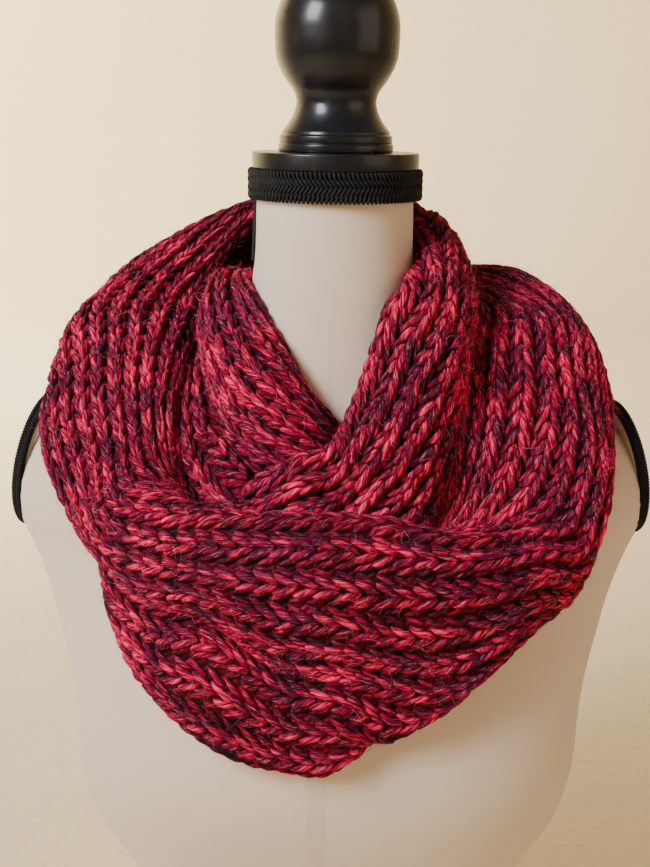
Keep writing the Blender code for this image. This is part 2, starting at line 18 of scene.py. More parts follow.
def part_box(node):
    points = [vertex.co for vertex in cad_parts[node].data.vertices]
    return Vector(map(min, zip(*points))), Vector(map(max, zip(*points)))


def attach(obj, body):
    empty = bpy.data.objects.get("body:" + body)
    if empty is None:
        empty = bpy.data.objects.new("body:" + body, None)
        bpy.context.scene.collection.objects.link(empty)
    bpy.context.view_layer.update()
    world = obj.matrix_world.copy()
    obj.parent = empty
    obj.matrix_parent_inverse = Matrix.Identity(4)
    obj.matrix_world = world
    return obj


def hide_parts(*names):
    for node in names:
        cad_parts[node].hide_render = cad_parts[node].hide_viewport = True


bl_info = {
    "name": "Knitted infinity scarf",
    "version": (1, 0, 0),
    "blender": (4, 5, 0),
    "location": "View3D > Sidebar > Scarf",
    "description": "Knits and dresses an infinity scarf on a limbless dress form",
    "category": "Object",
}

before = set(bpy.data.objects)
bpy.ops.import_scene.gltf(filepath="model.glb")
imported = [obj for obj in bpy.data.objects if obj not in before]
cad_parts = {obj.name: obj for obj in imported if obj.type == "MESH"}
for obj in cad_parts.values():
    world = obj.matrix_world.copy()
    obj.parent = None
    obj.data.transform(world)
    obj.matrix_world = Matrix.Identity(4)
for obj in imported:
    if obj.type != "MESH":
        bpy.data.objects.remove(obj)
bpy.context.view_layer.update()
LOW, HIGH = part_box("neck_disc")
NECK_AXIS = Vector(((LOW[0] + HIGH[0]) / 2, (LOW[1] + HIGH[1]) / 2, 0))
MM = 0.001
FULL_TURN = 2 * math.pi

# ---- the dress form ----
NECK_TOP = 0.690
NECK_RADIUS = 0.0525

# height, half width, depth to the front, depth to the back (mm), fullness of the oval
TORSO_SECTIONS = (
    (0, 168, 98, 117, 2.3),
    (45, 159, 93, 108, 2.3),
    (95, 149, 87, 95, 2.3),
    (145, 147, 86, 88, 2.3),
    (171, 153, 89, 89, 2.3),
    (192, 164, 95, 91, 2.3),
    (213, 175, 102, 93, 2.35),
    (236, 182, 111, 96, 2.4),
    (270, 186, 121, 100, 2.5),
    (308, 187, 124, 105, 2.5),
    (340, 190, 118, 109, 2.5),
    (371, 197, 110, 113, 2.4),
    (395, 203, 103, 116, 2.3),
    (418, 210, 96, 117, 2.3),
    (438, 219, 90, 117, 2.2),
    (462, 233, 84, 113, 2.15),
    (484, 237, 77, 107, 2.12),
    (502, 226, 71, 101, 2.06),
    (518, 202, 66, 95, 2.0),
    (531, 172, 62, 88, 2.0),
    (542, 142, 59, 81, 2.0),
    (553, 114, 57, 74, 2.0),
    (565, 90, 56, 67, 2.0),
    (579, 72, 55, 61, 2.0),
    (597, 61, 54.2, 57, 2.0),
    (622, 55, 53.6, 54.5, 2.0),
    (660, 52.8, 52.7, 52.8, 2.0),
    (690, 52.5, 52.5, 52.5, 2.0),
)

# The armholes' flat ends: their plane leans in towards the top and turns a little to the back.
ARM_TOP = Vector((0.1935, 0.0, 0.533))
ARM_BOTTOM = Vector((0.2115, 0.0, 0.436))
ARM_TURN = 0.26
ARM_DEPTH = -0.002
ARM_HALF_HEIGHT = 0.0485
ARM_HALF_DEPTH = 0.0370
ARM_PLATE_THICK = 0.0070
ARM_DOME = 0.0025
# The jersey over an armhole's end: how far it stands in from the trim, its edge and its dome's rings.
COVER_INSET = 0.0004
COVER_EDGE = 0.0015
DOME_INSETS = (0.0006, 0.0018, 0.004, 0.008, 0.014, 0.020, 0.025)
DOME_REACH = 0.026
TRIM_THICK = 0.0028
SEAM_GAP = 0.0004
HANDS = (("left", -1), ("right", 1))

BRAID_LOW = 0.6725
BRAID_HIGH = 0.6895
BRAID_THICK = 0.0036
# Gimp braid: rows of cords (the shares of the width where a row starts and ends, and how many
# spacings it slants), the spacing of the cords and a cord's radius.
Gimp = namedtuple("Gimp", "rows spacing cord")
NECK_GIMP = Gimp(
    ((-0.05, 0.24, 0.5), (0.20, 0.52, 1.3), (0.80, 0.52, 1.3), (0.76, 1.05, -0.5)), 0.0029, 0.00105
)
ARM_GIMP = Gimp(((0.0, 0.5, 1.3), (1.0, 0.5, 1.3)), 0.0021, 0.0009)
# A cord's rings and sides, and how it stands off the braid: in radii at its ends and what its middle
# adds, and the curve between.
CORD_RINGS = 6
CORD_SIDES = 6
CORD_BASE = 0.35
CORD_HUMP = 0.9
CORD_CURVE = 0.7
# The cords' paths: the steps round the neck and how deep its cords are sunk; the steps round an
# armhole, how far out its cords start, how much narrower than the plate they are, and the step to
# either side of the rim that shows which way is out.
NECK_STEPS = 180
NECK_CORD_SUNK = 0.0001
ARM_STEPS = 120
ARM_CORD_START = 0.0009
ARM_CORD_END = 0.001
RIM_STEP = 0.0005

DISC_RADIUS = 0.0556
DISC_THICK = 0.0110
FINIAL_BALL = 0.0407
FINIAL_BALL_HEIGHT = 0.7775
BODY_SIDES = 160
BODY_LEVELS = 105
ARM_SIDES = 96
# The lathe: its sides, how near the axis a profile starts, the softened edges of the disc and the
# foot, the most of a side that a softened corner takes, the steps of the knob's waist and ball, and
# how far up the ball is turned.
LATHE_SIDES = 128
LATHE_END = 0.004
DISC_EDGE = 0.0012
FOOT_EDGE = 0.0006
CORNER_SHARE = 0.45
WAIST_STEPS = 44
BALL_STEPS = 24
BALL_DEGREES = 88
# The knob's underside and waist: radius, and how far below the ball's middle.
BULB = (
    (0.0346, 0.0617),
    (0.0312, 0.0572),
    (0.0275, 0.0500),
    (0.0263, 0.0440),
    (0.0281, 0.0378),
    (0.0314, 0.0332),
    (0.0355, 0.0270),
    (0.0393, 0.0182),
    (0.0404, 0.0093),
)
# The knob's foot, from the disc up: radius, and height above the foot's underside.
FOOT = (
    (LATHE_END, 0.0),
    (0.0382, 0.0),
    (0.0382, 0.0048),
    (0.0370, 0.0052),
    (0.0374, 0.0060),
    (0.0374, 0.0102),
    (0.0358, 0.0108),
    (0.0356, 0.0128),
)
BULB_FOOT = (0.0354, 0.0130)

# ---- the view ----
VIEW_FOCUS = 1100.0
SENSOR = 0.036
VIEW_HEIGHT = 867.0
VIEW_PLACE = (-0.0045, -0.7546, 0.723)
VIEW_TILT = 16.0
VIEW_ROLL = 0.8
VIEW_CLIP = (0.02, 60.0)

# ---- the studio ----
FORM_MIDDLE = (0, 0, 0.5)
# The floor: how near its middle it starts, the radius of its bend and the steps round it, and its top.
FLOOR_MIDDLE = 0.0001
FLOOR_BEND = 1.2
FLOOR_BEND_STEPS = 12
FLOOR_TOP = 5.0
FLOOR_SIDES = 96
# Each lamp: where it is, what it looks at, its width and height, the setting of its power, its colour.
LAMPS = {
    "window": ((-1.15, -1.05, 1.55), FORM_MIDDLE, (0.62, 0.85), "key_power", (0.90, 0.95, 1.0)),
    "room": ((1.5, -0.9, 1.15), FORM_MIDDLE, (1.3, 1.3), "fill_power", (1.0, 0.90, 0.80)),
    "wall_wash": ((-1.7, 1.5, 2.4), (-1.5, 4.4, 0.8), (2.0, 1.2), "wall_power", (1.0, 0.96, 0.88)),
}
SKY_COLOUR = (1.0, 0.97, 0.93, 1.0)

# ---- the scarf's sections ----
# Where the points of the section tables lie, as shares of the width from the outer hem.
GUIDES = (0, 0.143, 0.25, 0.357, 0.5, 0.607, 0.75, 0.857, 1)

# The cloth has fourteen ribs. Where it narrows, the ones at its edges roll under and out of sight.
# Each row gives an angle, the first and last rib that show there and how the ribs are spread: 0 by the
# guide points' shares, 1 evenly by length.
OUTER_SHOWN = (
    (-180, 3, 11, 0),
    (-150, 2.4, 11.6, 0),
    (-110, 1.3, 12.7, 0),
    (-75, 0.4, 13.6, 0.5),
    (-50, 0, 14, 0.5),
    (-30, 0, 14, 0),
    (180, 0, 14, 0),
)
OVER_SHOWN = ((-28, 3, 11, 0.85), (100, 3, 11, 0.85), (150, 3, 11, 0), (180, 3, 11, 0))
UNDER_SHOWN = ((-180, 0, 14, 0), (-150, 1, 13, 0.3), (-105, 3, 10, 0.8), (3, 3, 10, 0.8))
TUCKED_SHOWN = ((-108, 0, 3, 0.8), (-28.5, 0, 3, 0.8))

# Each row is a section: its angle in degrees, then (radius, height) in mm of each guide point. At the
# nape the over strand runs into the outer wrap's start, and the outer wrap's end into the under strand.
OUTER_WRAP = (
    (-180, (88, 572), (91, 589), (92, 601), (93, 613), (92, 630),
     (89, 643), (82, 657), (71, 663), (62, 640)),
    (-165, (103, 587), (104, 597), (103, 607), (102, 617), (98, 632),
     (93, 645), (85, 657), (75, 662), (66, 644)),
    (-150, (123, 587), (122, 598), (118, 609), (113, 619), (106, 633),
     (98, 645), (88, 657), (78, 661), (70, 648)),
    (-135, (139, 569), (139, 585), (135, 601), (129, 616), (118, 636),
     (109, 648), (98, 656), (90, 658), (84, 648)),
    (-122, (142, 564), (145, 580), (144, 597), (138, 614), (129, 632),
     (120, 641), (107, 643), (99, 640), (93, 627)),
    (-108, (148, 560), (156, 572), (161, 585), (160, 600), (151, 615),
     (140, 621), (122, 622), (110, 617), (99, 605)),
    (-95, (142, 567), (156, 566), (167, 568), (173, 576), (168, 592),
     (156, 601), (135, 604), (118, 600), (97, 591)),
    (-85, (140, 562), (156, 556), (170, 556), (180, 562), (178, 577),
     (166, 588), (142, 592), (121, 589), (98, 579)),
    (-75, (177, 515), (186, 508), (192, 513), (194, 524), (182, 546),
     (165, 561), (141, 573), (122, 577), (102, 571)),
    (-67, (168, 475), (177, 474), (183, 483), (191, 496), (183, 516),
     (166, 534), (144, 549), (126, 558), (110, 561)),
    (-60, (161, 427), (168, 441), (172, 454), (180, 465), (177, 487),
     (161, 508), (142, 527), (131, 535), (121, 540)),
    (-53, (166, 400), (172, 426), (167, 445), (177, 458), (174, 481),
     (158, 499), (141, 505), (134, 502), (129, 497)),
    (-45, (166, 374), (168, 415), (159, 435), (171, 448), (168, 474),
     (154, 491), (139, 484), (134, 471), (131, 456)),
    (-30, (153, 339), (161, 402), (147, 424), (159, 441), (159, 466),
     (147, 489), (134, 476), (130, 458), (128, 438)),
    (-12, (137, 322), (147, 371), (139, 398), (148, 424), (150, 467),
     (139, 490), (132, 466), (130, 446), (129, 424)),
    (2, (135, 323), (145, 366), (142, 396), (148, 422), (150, 466),
     (138, 491), (132, 466), (130, 446), (129, 424)),
    (16, (127, 356), (140, 349), (147, 386), (148, 411), (153, 462),
     (143, 487), (135, 468), (130, 455), (127, 440)),
    (30, (138, 376), (149, 369), (156, 383), (157, 411), (165, 460),
     (155, 478), (142, 472), (130, 464), (119, 455)),
    (45, (148, 410), (158, 403), (167, 410), (176, 431), (179, 461),
     (166, 474), (148, 476), (131, 479), (112, 479)),
    (60, (155, 436), (165, 429), (174, 431), (181, 435), (187, 459),
     (177, 482), (154, 507), (130, 524), (101, 537)),
    (68, (163, 485), (172, 477), (182, 475), (190, 484), (190, 501),
     (178, 519), (153, 540), (126, 554), (96, 555)),
    (75, (169, 520), (178, 514), (185, 512), (189, 521), (181, 537),
     (168, 551), (146, 565), (122, 573), (95, 571)),
    (90, (150, 566), (162, 560), (172, 560), (178, 566), (173, 580),
     (161, 588), (142, 590), (122, 589), (99, 590)),
    (107, (146, 572), (154, 580), (158, 588), (158, 597), (150, 609),
     (139, 611), (124, 602), (114, 601), (102, 592)),
    (125, (140, 556), (145, 568), (147, 580), (146, 593), (138, 610),
     (128, 613), (116, 602), (109, 599), (102, 589)),
    (150, (134, 515), (139, 533), (138, 551), (133, 568), (121, 588),
     (112, 591), (106, 577), (105, 566), (104, 552)),
    (180, (124, 478), (131, 502), (131, 522), (127, 543), (116, 569),
     (107, 575), (103, 554), (106, 537), (111, 512)),
)
OVER_STRAND = (
    (-28, (115, 399), (116, 416), (116, 428), (116, 440), (116, 457),
     (116, 471), (114, 488), (111, 497), (106, 498)),
    (-20, (114, 402), (115, 420), (115, 433), (115, 447), (115, 464),
     (115, 478), (113, 495), (110, 503), (104, 504)),
    (-10, (114, 410), (115, 431), (115, 446), (115, 460), (115, 478),
     (114, 491), (112, 507), (107, 515), (100, 514)),
    (0, (115, 416), (115, 434), (115, 446), (115, 458), (113, 476),
     (112, 489), (108, 505), (101, 517), (91, 519)),
    (12, (112, 420), (113, 441), (113, 456), (112, 469), (110, 486),
     (107, 500), (100, 520), (84, 536), (71, 532)),
    (25, (109, 434), (111, 453), (112, 469), (111, 480), (109, 497),
     (106, 512), (98, 535), (79, 566), (62, 572)),
    (32, (106, 453), (108, 472), (110, 487), (109, 498), (108, 514),
     (106, 528), (99, 547), (76, 585), (61, 596)),
    (38, (105, 469), (107, 488), (107, 504), (106, 515), (104, 533),
     (102, 548), (96, 568), (78, 600), (60.5, 609)),
    (50, (103, 513), (102, 526), (101, 540), (101, 549), (100, 565),
     (98, 580), (90, 600), (76, 617), (60.5, 613)),
    (65, (92, 568), (92, 574), (93, 580), (93, 587), (93, 598),
     (90, 610), (81, 626), (70, 631), (60.5, 619)),
    (80, (89, 583), (91, 589), (92, 594), (92, 600), (90, 612),
     (85, 624), (75, 637), (67, 638), (60.5, 623)),
    (95, (87, 591), (89, 598), (90, 604), (89, 612), (87, 625),
     (82, 636), (72, 646), (65, 643), (60.5, 627)),
    (110, (88, 592), (90, 600), (91, 608), (91, 616), (89, 629),
     (84, 641), (75, 652), (67, 652), (61, 630)),
    (130, (88, 585), (91, 597), (92, 606), (92, 616), (91, 630),
     (87, 643), (79, 655), (69, 658), (62, 634)),
    (150, (88, 577), (91, 592), (92, 603), (93, 614), (92, 630),
     (89, 643), (81, 656), (70, 661), (62, 638)),
    (180,) + OUTER_WRAP[0][1:],
)
UNDER_STRAND = (
    (-180,) + OUTER_WRAP[-1][1:],
    (-150, (134, 504), (137, 522), (134, 537), (129, 552), (115, 573),
     (106, 577), (100, 568), (101, 558), (104, 546)),
    (-130, (124, 548), (121, 558), (117, 566), (112, 575), (103, 586),
     (96, 590), (88, 587), (86, 580), (86, 572)),
    (-110, (91, 588), (92, 594), (92, 601), (89, 607), (83, 613),
     (77, 614), (71, 612), (67, 611), (62, 614)),
    (-90, (81, 589), (83, 594), (83, 600), (82, 606), (79, 613),
     (75, 616), (69, 614), (65, 614), (60.5, 618)),
    (-65, (88, 571), (90, 575), (92, 581), (91, 589), (87, 601),
     (81, 607), (73, 607), (67, 607), (60.5, 611)),
    (-50, (90, 540), (93, 545), (95, 552), (95, 563), (92, 580),
     (86, 590), (75, 594), (68, 595), (61, 600)),
    (-35, (88, 511), (92, 515), (97, 523), (98, 537), (95, 556),
     (88, 570), (77, 577), (69, 578), (61.5, 583)),
    (-22, (88, 501), (92, 505), (96, 512), (96, 523), (93, 541),
     (87, 553), (77, 559), (70, 560), (63, 563)),
    (-9, (83, 494), (86, 497), (88, 503), (88, 512), (85, 526),
     (82, 534), (77, 540), (71, 541), (66, 541)),
    (-3, (77, 487), (79, 492), (81, 499), (81, 508), (79, 519),
     (77, 526), (73, 531), (69, 533), (65, 533)),
    (3, (72, 481), (73, 486), (74, 491), (74, 497), (73, 505),
     (72, 510), (70, 515), (67, 518), (64, 520)),
)

TUCKED_GUIDES = (0, 0.4, 0.75, 1)
TUCKED_FOLD = (
    (-108, (98, 572), (94, 574), (89, 576), (86, 578)),
    (-94, (101, 569), (95, 572), (90, 575), (87, 577)),
    (-80, (104, 562), (97, 566), (91, 570), (86, 572)),
    (-69, (109, 550), (103, 554), (97, 559), (91, 562)),
    (-61, (117, 520), (109, 536), (102, 543), (94, 547)),
    (-55, (122, 478), (114, 502), (105, 520), (94, 532)),
    (-49, (121, 464), (113, 490), (105, 512), (91, 526)),
    (-42, (120, 460), (113, 485), (107, 506), (93, 515)),
    (-35, (118, 460), (113, 484), (109, 500), (97, 503)),
    (-28.5, (117, 462), (114, 482), (110, 496), (100, 499)),
)


def smooth(knots, values, at):
    """Read a smooth curve through rows of values, given at knots, at other places."""
    knots = np.asarray(knots, float)
    values = np.asarray(values, float)
    at = np.asarray(at, float)
    slopes = np.gradient(values, knots, axis=0)
    first = np.clip(np.searchsorted(knots, at, side="right") - 1, 0, len(knots) - 2)
    shape = (-1,) + (1,) * (values.ndim - 1)
    span = (knots[first + 1] - knots[first]).reshape(shape)
    t = (at - knots[first]).reshape(shape) / span
    return (
        values[first] * (2 * t**3 - 3 * t**2 + 1)
        + slopes[first] * span * (t**3 - 2 * t**2 + t)
        + values[first + 1] * (3 * t**2 - 2 * t**3)
        + slopes[first + 1] * span * (t**3 - t**2)
    )


# ---- the cloth ----
# The wall, in metres: half its thickness, and how high the ribs stand on its face and on its back.
HALF_WALL = 0.0024
RIB_RISE = 0.0036
BACK_RIB_RISE = 0.0016
# A narrow rib's rise as a share of its width, and how much of the rise the wall has under its stitches.
RISE_PER_PITCH = 0.34
SHELL_SHARE = 0.70
# Where a bend is tight, the rise is lowered by steps until the face isn't squeezed below this share.
LEAST_STRETCH = 0.5
LEAST_WALL = 0.0006
TAMING_ROUNDS = 24
TAMING_STEP = 0.9
# How finely the cloth is read: for its wall, for its stitches and along one section.
WALL_DEGREES = 2.6
WALL_COLUMNS_PER_RIB = 6
STITCH_DEGREES = 1.5
STITCH_COLUMNS = 56
LEAST_STATIONS = 24
EVEN_STEPS = 61
SPLIT_STEP = 0.1


StrandParts = namedtuple(
    "StrandParts", "name rows guides shown gap flat halves ribbed_back", defaults=(1, False)
)


class Strand(StrandParts):
    """One stretch of the scarf: its sections, the ribs that show and how it is laid."""

    def at(self, angles, column):
        """One column of the table of shown ribs, read at each angle."""
        return np.interp(angles, [row[0] for row in self.shown], [row[column] for row in self.shown])


STRANDS = {
    strand.name: strand
    for strand in (
        Strand("outer_wrap", OUTER_WRAP, GUIDES, OUTER_SHOWN, 0.0024, (0.20, 1.06), 3, True),
        Strand("over_strand", OVER_STRAND, GUIDES, OVER_SHOWN, 0.0016, (0.15, 0.41)),
        Strand("under_strand", UNDER_STRAND, GUIDES, UNDER_SHOWN, 0.0016, (0.12, 0.37)),
        Strand("tucked_fold", TUCKED_FOLD, TUCKED_GUIDES, TUCKED_SHOWN, 0.0020, (0.040, 0.180)),
    )
}


def rib_wave(place):
    """Height of the ribs, 0 in a valley and 1 on a rib's back, for a place counted in ribs."""
    return 1 - np.abs(2 * (np.asarray(place) % 1.0) - 1) ** 2.5


def wall_face(pitch, place):
    """How far the thin wall's face stands off the cloth's middle."""
    return HALF_WALL + SHELL_SHARE * np.minimum(RIB_RISE, RISE_PER_PITCH * pitch) * rib_wave(place)


def middle_surface(strand, angles, across):
    """Points of a strand's middle surface for the given angles and shares of its width."""
    sections = np.array([row[1:] for row in strand.rows], float) * MM
    at_angles = smooth([row[0] for row in strand.rows], sections, angles)
    fine = np.linspace(0, 1, EVEN_STEPS)
    grid = []
    for angle, even, section in zip(angles, strand.at(angles, 3), at_angles):
        lengths = arc_lengths(smooth(strand.guides, section, fine))
        spread = (1 - even) * fine + even * lengths / lengths[-1]
        radius, height = smooth(strand.guides, section, np.interp(across, spread, fine)).T
        turn = math.radians(angle)
        grid.append(np.stack([radius * math.sin(turn), -radius * math.cos(turn), height], -1))
    return np.array(grid)


def face_normals(grid):
    """Unit normals of a grid of points, on the side that shows the cloth's face."""
    normal = np.cross(np.gradient(grid, axis=0), np.gradient(grid, axis=1))
    return normal / np.linalg.norm(normal, axis=-1, keepdims=True)


def form_tree():
    """The form's solid about the neck's axis, ready for nearest-point questions."""
    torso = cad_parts["form_torso"].data
    return BVHTree.FromPolygons(
        [vertex.co - NECK_AXIS for vertex in torso.vertices],
        [tuple(face.vertices) for face in torso.polygons],
    )


def keep_clear(grid, tree, strand):
    """Move points that are inside the form, or too near it, outwards as the solid's are."""
    facing = face_normals(grid)
    moved = grid.copy()
    back_rise = BACK_RIB_RISE if strand.ribbed_back else 0.0
    for index in np.ndindex(grid.shape[:2]):
        point = Vector(grid[index])
        nearest, normal, _, _ = tree.find_nearest(point)
        side = normal.dot(Vector(facing[index]))
        rise = RIB_RISE if side < 0 else back_rise
        needed = (HALF_WALL + rise) * abs(side) + strand.gap
        if (point - nearest).dot(normal) < needed:
            moved[index] = nearest + normal * needed
    return moved


def tamed(grid, facing, rise):
    """Lower the rise where a tight bend would make the wall fold over itself."""
    for _ in range(TAMING_ROUNDS):
        surface = grid + facing * rise[:, :, None]
        low = np.zeros(rise.shape, bool)
        for axis in (0, 1):
            middle = np.diff(grid, axis=axis)
            outer = np.diff(surface, axis=axis)
            turned_back = (middle * outer).sum(2) < LEAST_STRETCH * (middle * middle).sum(2)
            along = np.moveaxis(low, axis, 0)
            along[:-1] |= np.moveaxis(turned_back, axis, 0)
            along[1:] |= np.moveaxis(turned_back, axis, 0)
        if not low.any():
            break
        rise = np.where(low, np.sign(rise) * np.maximum(np.abs(rise) * TAMING_STEP, LEAST_WALL), rise)
    return rise


def smooth_mesh(name, points, faces, surface):
    """A smooth mesh object in the scene."""
    mesh = bpy.data.meshes.new(name)
    mesh.from_pydata(np.asarray(points).tolist(), [], [list(face) for face in faces])
    mesh.materials.append(surface)
    mesh.polygons.foreach_set("use_smooth", [True] * len(mesh.polygons))
    mesh.update()
    made = bpy.data.objects.new(name, mesh)
    bpy.context.scene.collection.objects.link(made)
    return made


def add_piece(name, points, faces, surface, node=None):
    """A smooth piece that rides on the part; its points are given about the neck's axis."""
    piece = smooth_mesh(name, np.asarray(points) + np.array(NECK_AXIS), faces, surface)
    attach(piece, "root")
    if node is not None:
        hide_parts(node)
    return piece


def write_numbers(piece, name, values):
    """Keep one number for each point of a piece, for its finish to read."""
    layer = piece.data.attributes.new(name, "FLOAT", "POINT")
    layer.data.foreach_set("value", np.asarray(values, np.float32).ravel())


def write_map(piece, coordinates):
    """Keep two coordinates of each point as the piece's map."""
    corners = np.zeros(len(piece.data.loops), np.int32)
    piece.data.loops.foreach_get("vertex_index", corners)
    layer = piece.data.uv_layers.new(name="yarn")
    layer.data.foreach_set("uv", np.asarray(coordinates, np.float32)[corners].ravel())


def grid_faces(rows, columns, start=0, flipped=False):
    """Four-sided faces of a grid of points, as an array."""
    corner = (np.arange(rows - 1)[:, None] * columns + np.arange(columns - 1)[None, :]).ravel() + start
    faces = np.stack([corner, corner + columns, corner + columns + 1, corner + 1], 1)
    return faces[:, ::-1] if flipped else faces


def unit(vectors):
    """Vectors of length one."""
    return vectors / np.maximum(np.linalg.norm(vectors, axis=-1, keepdims=True), 1e-9)


def arc_lengths(points):
    """How far along its line each point of a row of points is."""
    steps = np.linalg.norm(np.diff(points, axis=0), axis=-1)
    return np.concatenate([np.zeros((1,) + steps.shape[1:]), np.cumsum(steps, axis=0)])


class Cloth:
    """A strand's middle surface as a fine grid, which can be read at any station and rib."""

    def __init__(self, strand, tree, degrees_apart, columns):
        start, end = strand.rows[0][0], strand.rows[-1][0]
        self.stations = max(LEAST_STATIONS, int(round((end - start) / degrees_apart)))
        self.columns = columns
        angles = np.linspace(start + SPLIT_STEP, end - SPLIT_STEP, self.stations)
        across = np.linspace(0, 1, columns + 1)
        self.grid = keep_clear(middle_surface(strand, angles, across), tree, strand)
        self.facing = face_normals(self.grid)
        self.first, self.last = strand.at(angles, 1), strand.at(angles, 2)
        self.places = self.first[:, None] + (self.last - self.first)[:, None] * across[None, :]
        steps = np.linalg.norm(np.gradient(self.grid, axis=1), axis=2)
        self.pitch = steps * columns / (self.last - self.first)[:, None]

    def edges(self, station):
        """The first and last rib that show at each station."""
        at = np.arange(self.stations)
        return np.interp(station, at, self.first), np.interp(station, at, self.last)

    def read(self, table, station, place):
        """A table of the surface at fractional stations and at places counted in ribs."""
        first, last = self.edges(station)
        row = np.clip(station, 0, self.stations - 1.001)
        column = np.clip((place - first) / (last - first), 0, 1) * self.columns
        column = np.clip(column, 0, self.columns - 0.001)
        r, c = row.astype(int), column.astype(int)
        fr, fc = row - r, column - c
        if table.ndim == 3:
            fr, fc = fr[..., None], fc[..., None]
        near = table[r, c] * (1 - fr) * (1 - fc) + table[r + 1, c] * fr * (1 - fc)
        return near + table[r, c + 1] * (1 - fr) * fc + table[r + 1, c + 1] * fr * fc

    def shows(self, station, place):
        """Whether a place is far enough inside the strand's edges at each station."""
        first, last = self.edges(station)
        return (place > first + EDGE_RIBS) & (place < last - EDGE_RIBS)


def knit_wall(strand, tree, surface):
    """The knitted wall that the stitches lie on: a thin closed shell in the solid's form."""
    most_ribs = max(row[2] - row[1] for row in strand.shown)
    cloth = Cloth(strand, tree, WALL_DEGREES, int(round(most_ribs * WALL_COLUMNS_PER_RIB)))
    rows, columns = cloth.pitch.shape
    back = np.full(cloth.pitch.shape, HALF_WALL)
    if strand.ribbed_back:
        back += np.minimum(BACK_RIB_RISE, RISE_PER_PITCH * cloth.pitch) * rib_wave(cloth.places + 0.5)
    points = [
        (cloth.grid + cloth.facing * tamed(cloth.grid, cloth.facing, rise)[:, :, None]).reshape(-1, 3)
        for rise in (wall_face(cloth.pitch, cloth.places), -back)
    ]
    count = rows * columns
    faces = [grid_faces(rows, columns), grid_faces(rows, columns, count, True)]
    number = np.arange(count).reshape(rows, columns)
    rims = ((number[0], False), (number[-1], True), (number[:, 0], True), (number[:, -1], False))
    for rim, turned in rims:
        rim_faces = np.stack([rim[:-1], rim[1:], rim[1:] + count, rim[:-1] + count], 1)
        faces.append(rim_faces[:, ::-1] if turned else rim_faces)
    points, faces = np.concatenate(points), np.concatenate(faces)
    piece = add_piece(f"{strand.name}_wall", points, faces, surface, strand.name)
    coordinates = np.stack([arc_lengths(cloth.grid), cloth.places], -1).reshape(-1, 2)
    write_map(piece, np.concatenate([coordinates, coordinates]))
    return piece


# Many stitch legs: their centre lines, the surface's direction there and their thickness.
Legs = namedtuple("Legs", "centres facing thick")

# A kind of stitch: the rings taken off its legs, their radius in yarn widths, how far the V opens (as a
# share of the rib's width less a margin, and the least and most) and how deep it sinks, in radii.
LegKind = namedtuple("LegKind", "rings_off radius opens margin least most sunk")
LEG_KINDS = {
    "rib": LegKind(0, 0.5, 0.255, 0.0, 0.0014, 0.0062, 0.0),
    "valley": LegKind(2, 0.44, 0.30, 0.001, 0.002, 0.0075, 0.35),
    "edge": LegKind(0, 0.5, 0.0, 0.0, 0.0019, 0.0019, 0.0),
}
# Along a column: where the first tip lies, a valley leg's share of a leg's run, and how far past the
# strand's ends and how near its edges (in ribs) a leg may lie.
FIRST_TIP = 0.75
VALLEY_RUN = 0.85
OVERHANG = 0.004
EDGE_RIBS = 0.3
# The narrowest rib that has legs, and the narrowest that their opening is measured by.
LEAST_LEG_PITCH = 0.0035
LEAST_OPENING_PITCH = 0.004
# The rib width that fills out the yarn, and how much thinner or thicker it may be.
FULL_YARN_PITCH = 0.0125
YARN_SWELL = (0.66, 1.12)
# A leg's arch, as shares of half a turn: where it starts and how much of it the leg takes.
ARCH_START = 0.12
ARCH_TAKEN = 0.80
# A leg's thickness without its arch, and what the arch adds.
FOOT_THICK = 0.78
ARCH_THICK = 0.22
# In radii: how high a leg lies and arches, and how deep its end dips, past this share of its length.
LEG_LIFT = 0.15
LEG_ARCH = 0.62
LEG_DIP = 0.45
DIP_FROM = 0.9
# The V's opening at its tip, and the curve by which it opens.
TIP_OPENING = 0.10
OPENING_CURVE = 0.9
LEG_TAPER = (0.55, 0.60)
PLIES = 3
PLY_DEPTH = 0.13
SUNK_SIDES = 6
# The painted shade on a leg from end to end, lightest in the middle and darker towards both ends: its
# part of half a turn and the curve.
END_LIGHT = (0.10, 0.90)
END_LIGHT_CURVE = 0.55
# On the map, a leg's length and how far apart two tones of yarn lie.
MAP_LENGTH = 0.018
MAP_APART = 3.0
# Scatter of the tips, the openings and the height.
TIP_SCATTER = 0.0006
OPENING_SCATTER = 0.09
HEIGHT_SCATTER = 0.00025
# The chain over an edge stands this far out of it and off the middle; out is away from the place that
# is this much of a rib further in.
EDGE_OUT = 0.0011
EDGE_LIFT = 0.0004
EDGE_IN = 0.25
# A stray hair's rings and sides, and how near to the yarn and how far off it stays.
FIBRE_RINGS = 4
FIBRE_SIDES = 3
FIBRE_LEAST = 0.0003
FIBRE_MOST = 0.004
# Which way a hair leans: out from the cloth, scattered any way and along the yarn.
FIBRE_OUT = (0.1, 0.9)
FIBRE_SCATTER = 0.6
FIBRE_ALONG = 0.9
# A hair's length in usual lengths, its curl, its root's height in the yarn's radii, how far it bows,
# its tip's thickness and how much of what stands too far off is pulled back.
FIBRE_LENGTHS = (0.4, 1.6)
FIBRE_CURLS = (0.15, 0.8)
FIBRE_ROOT = 0.9
FIBRE_BOW = 1.5
FIBRE_TIP = 0.4
FIBRE_PULL = 0.85


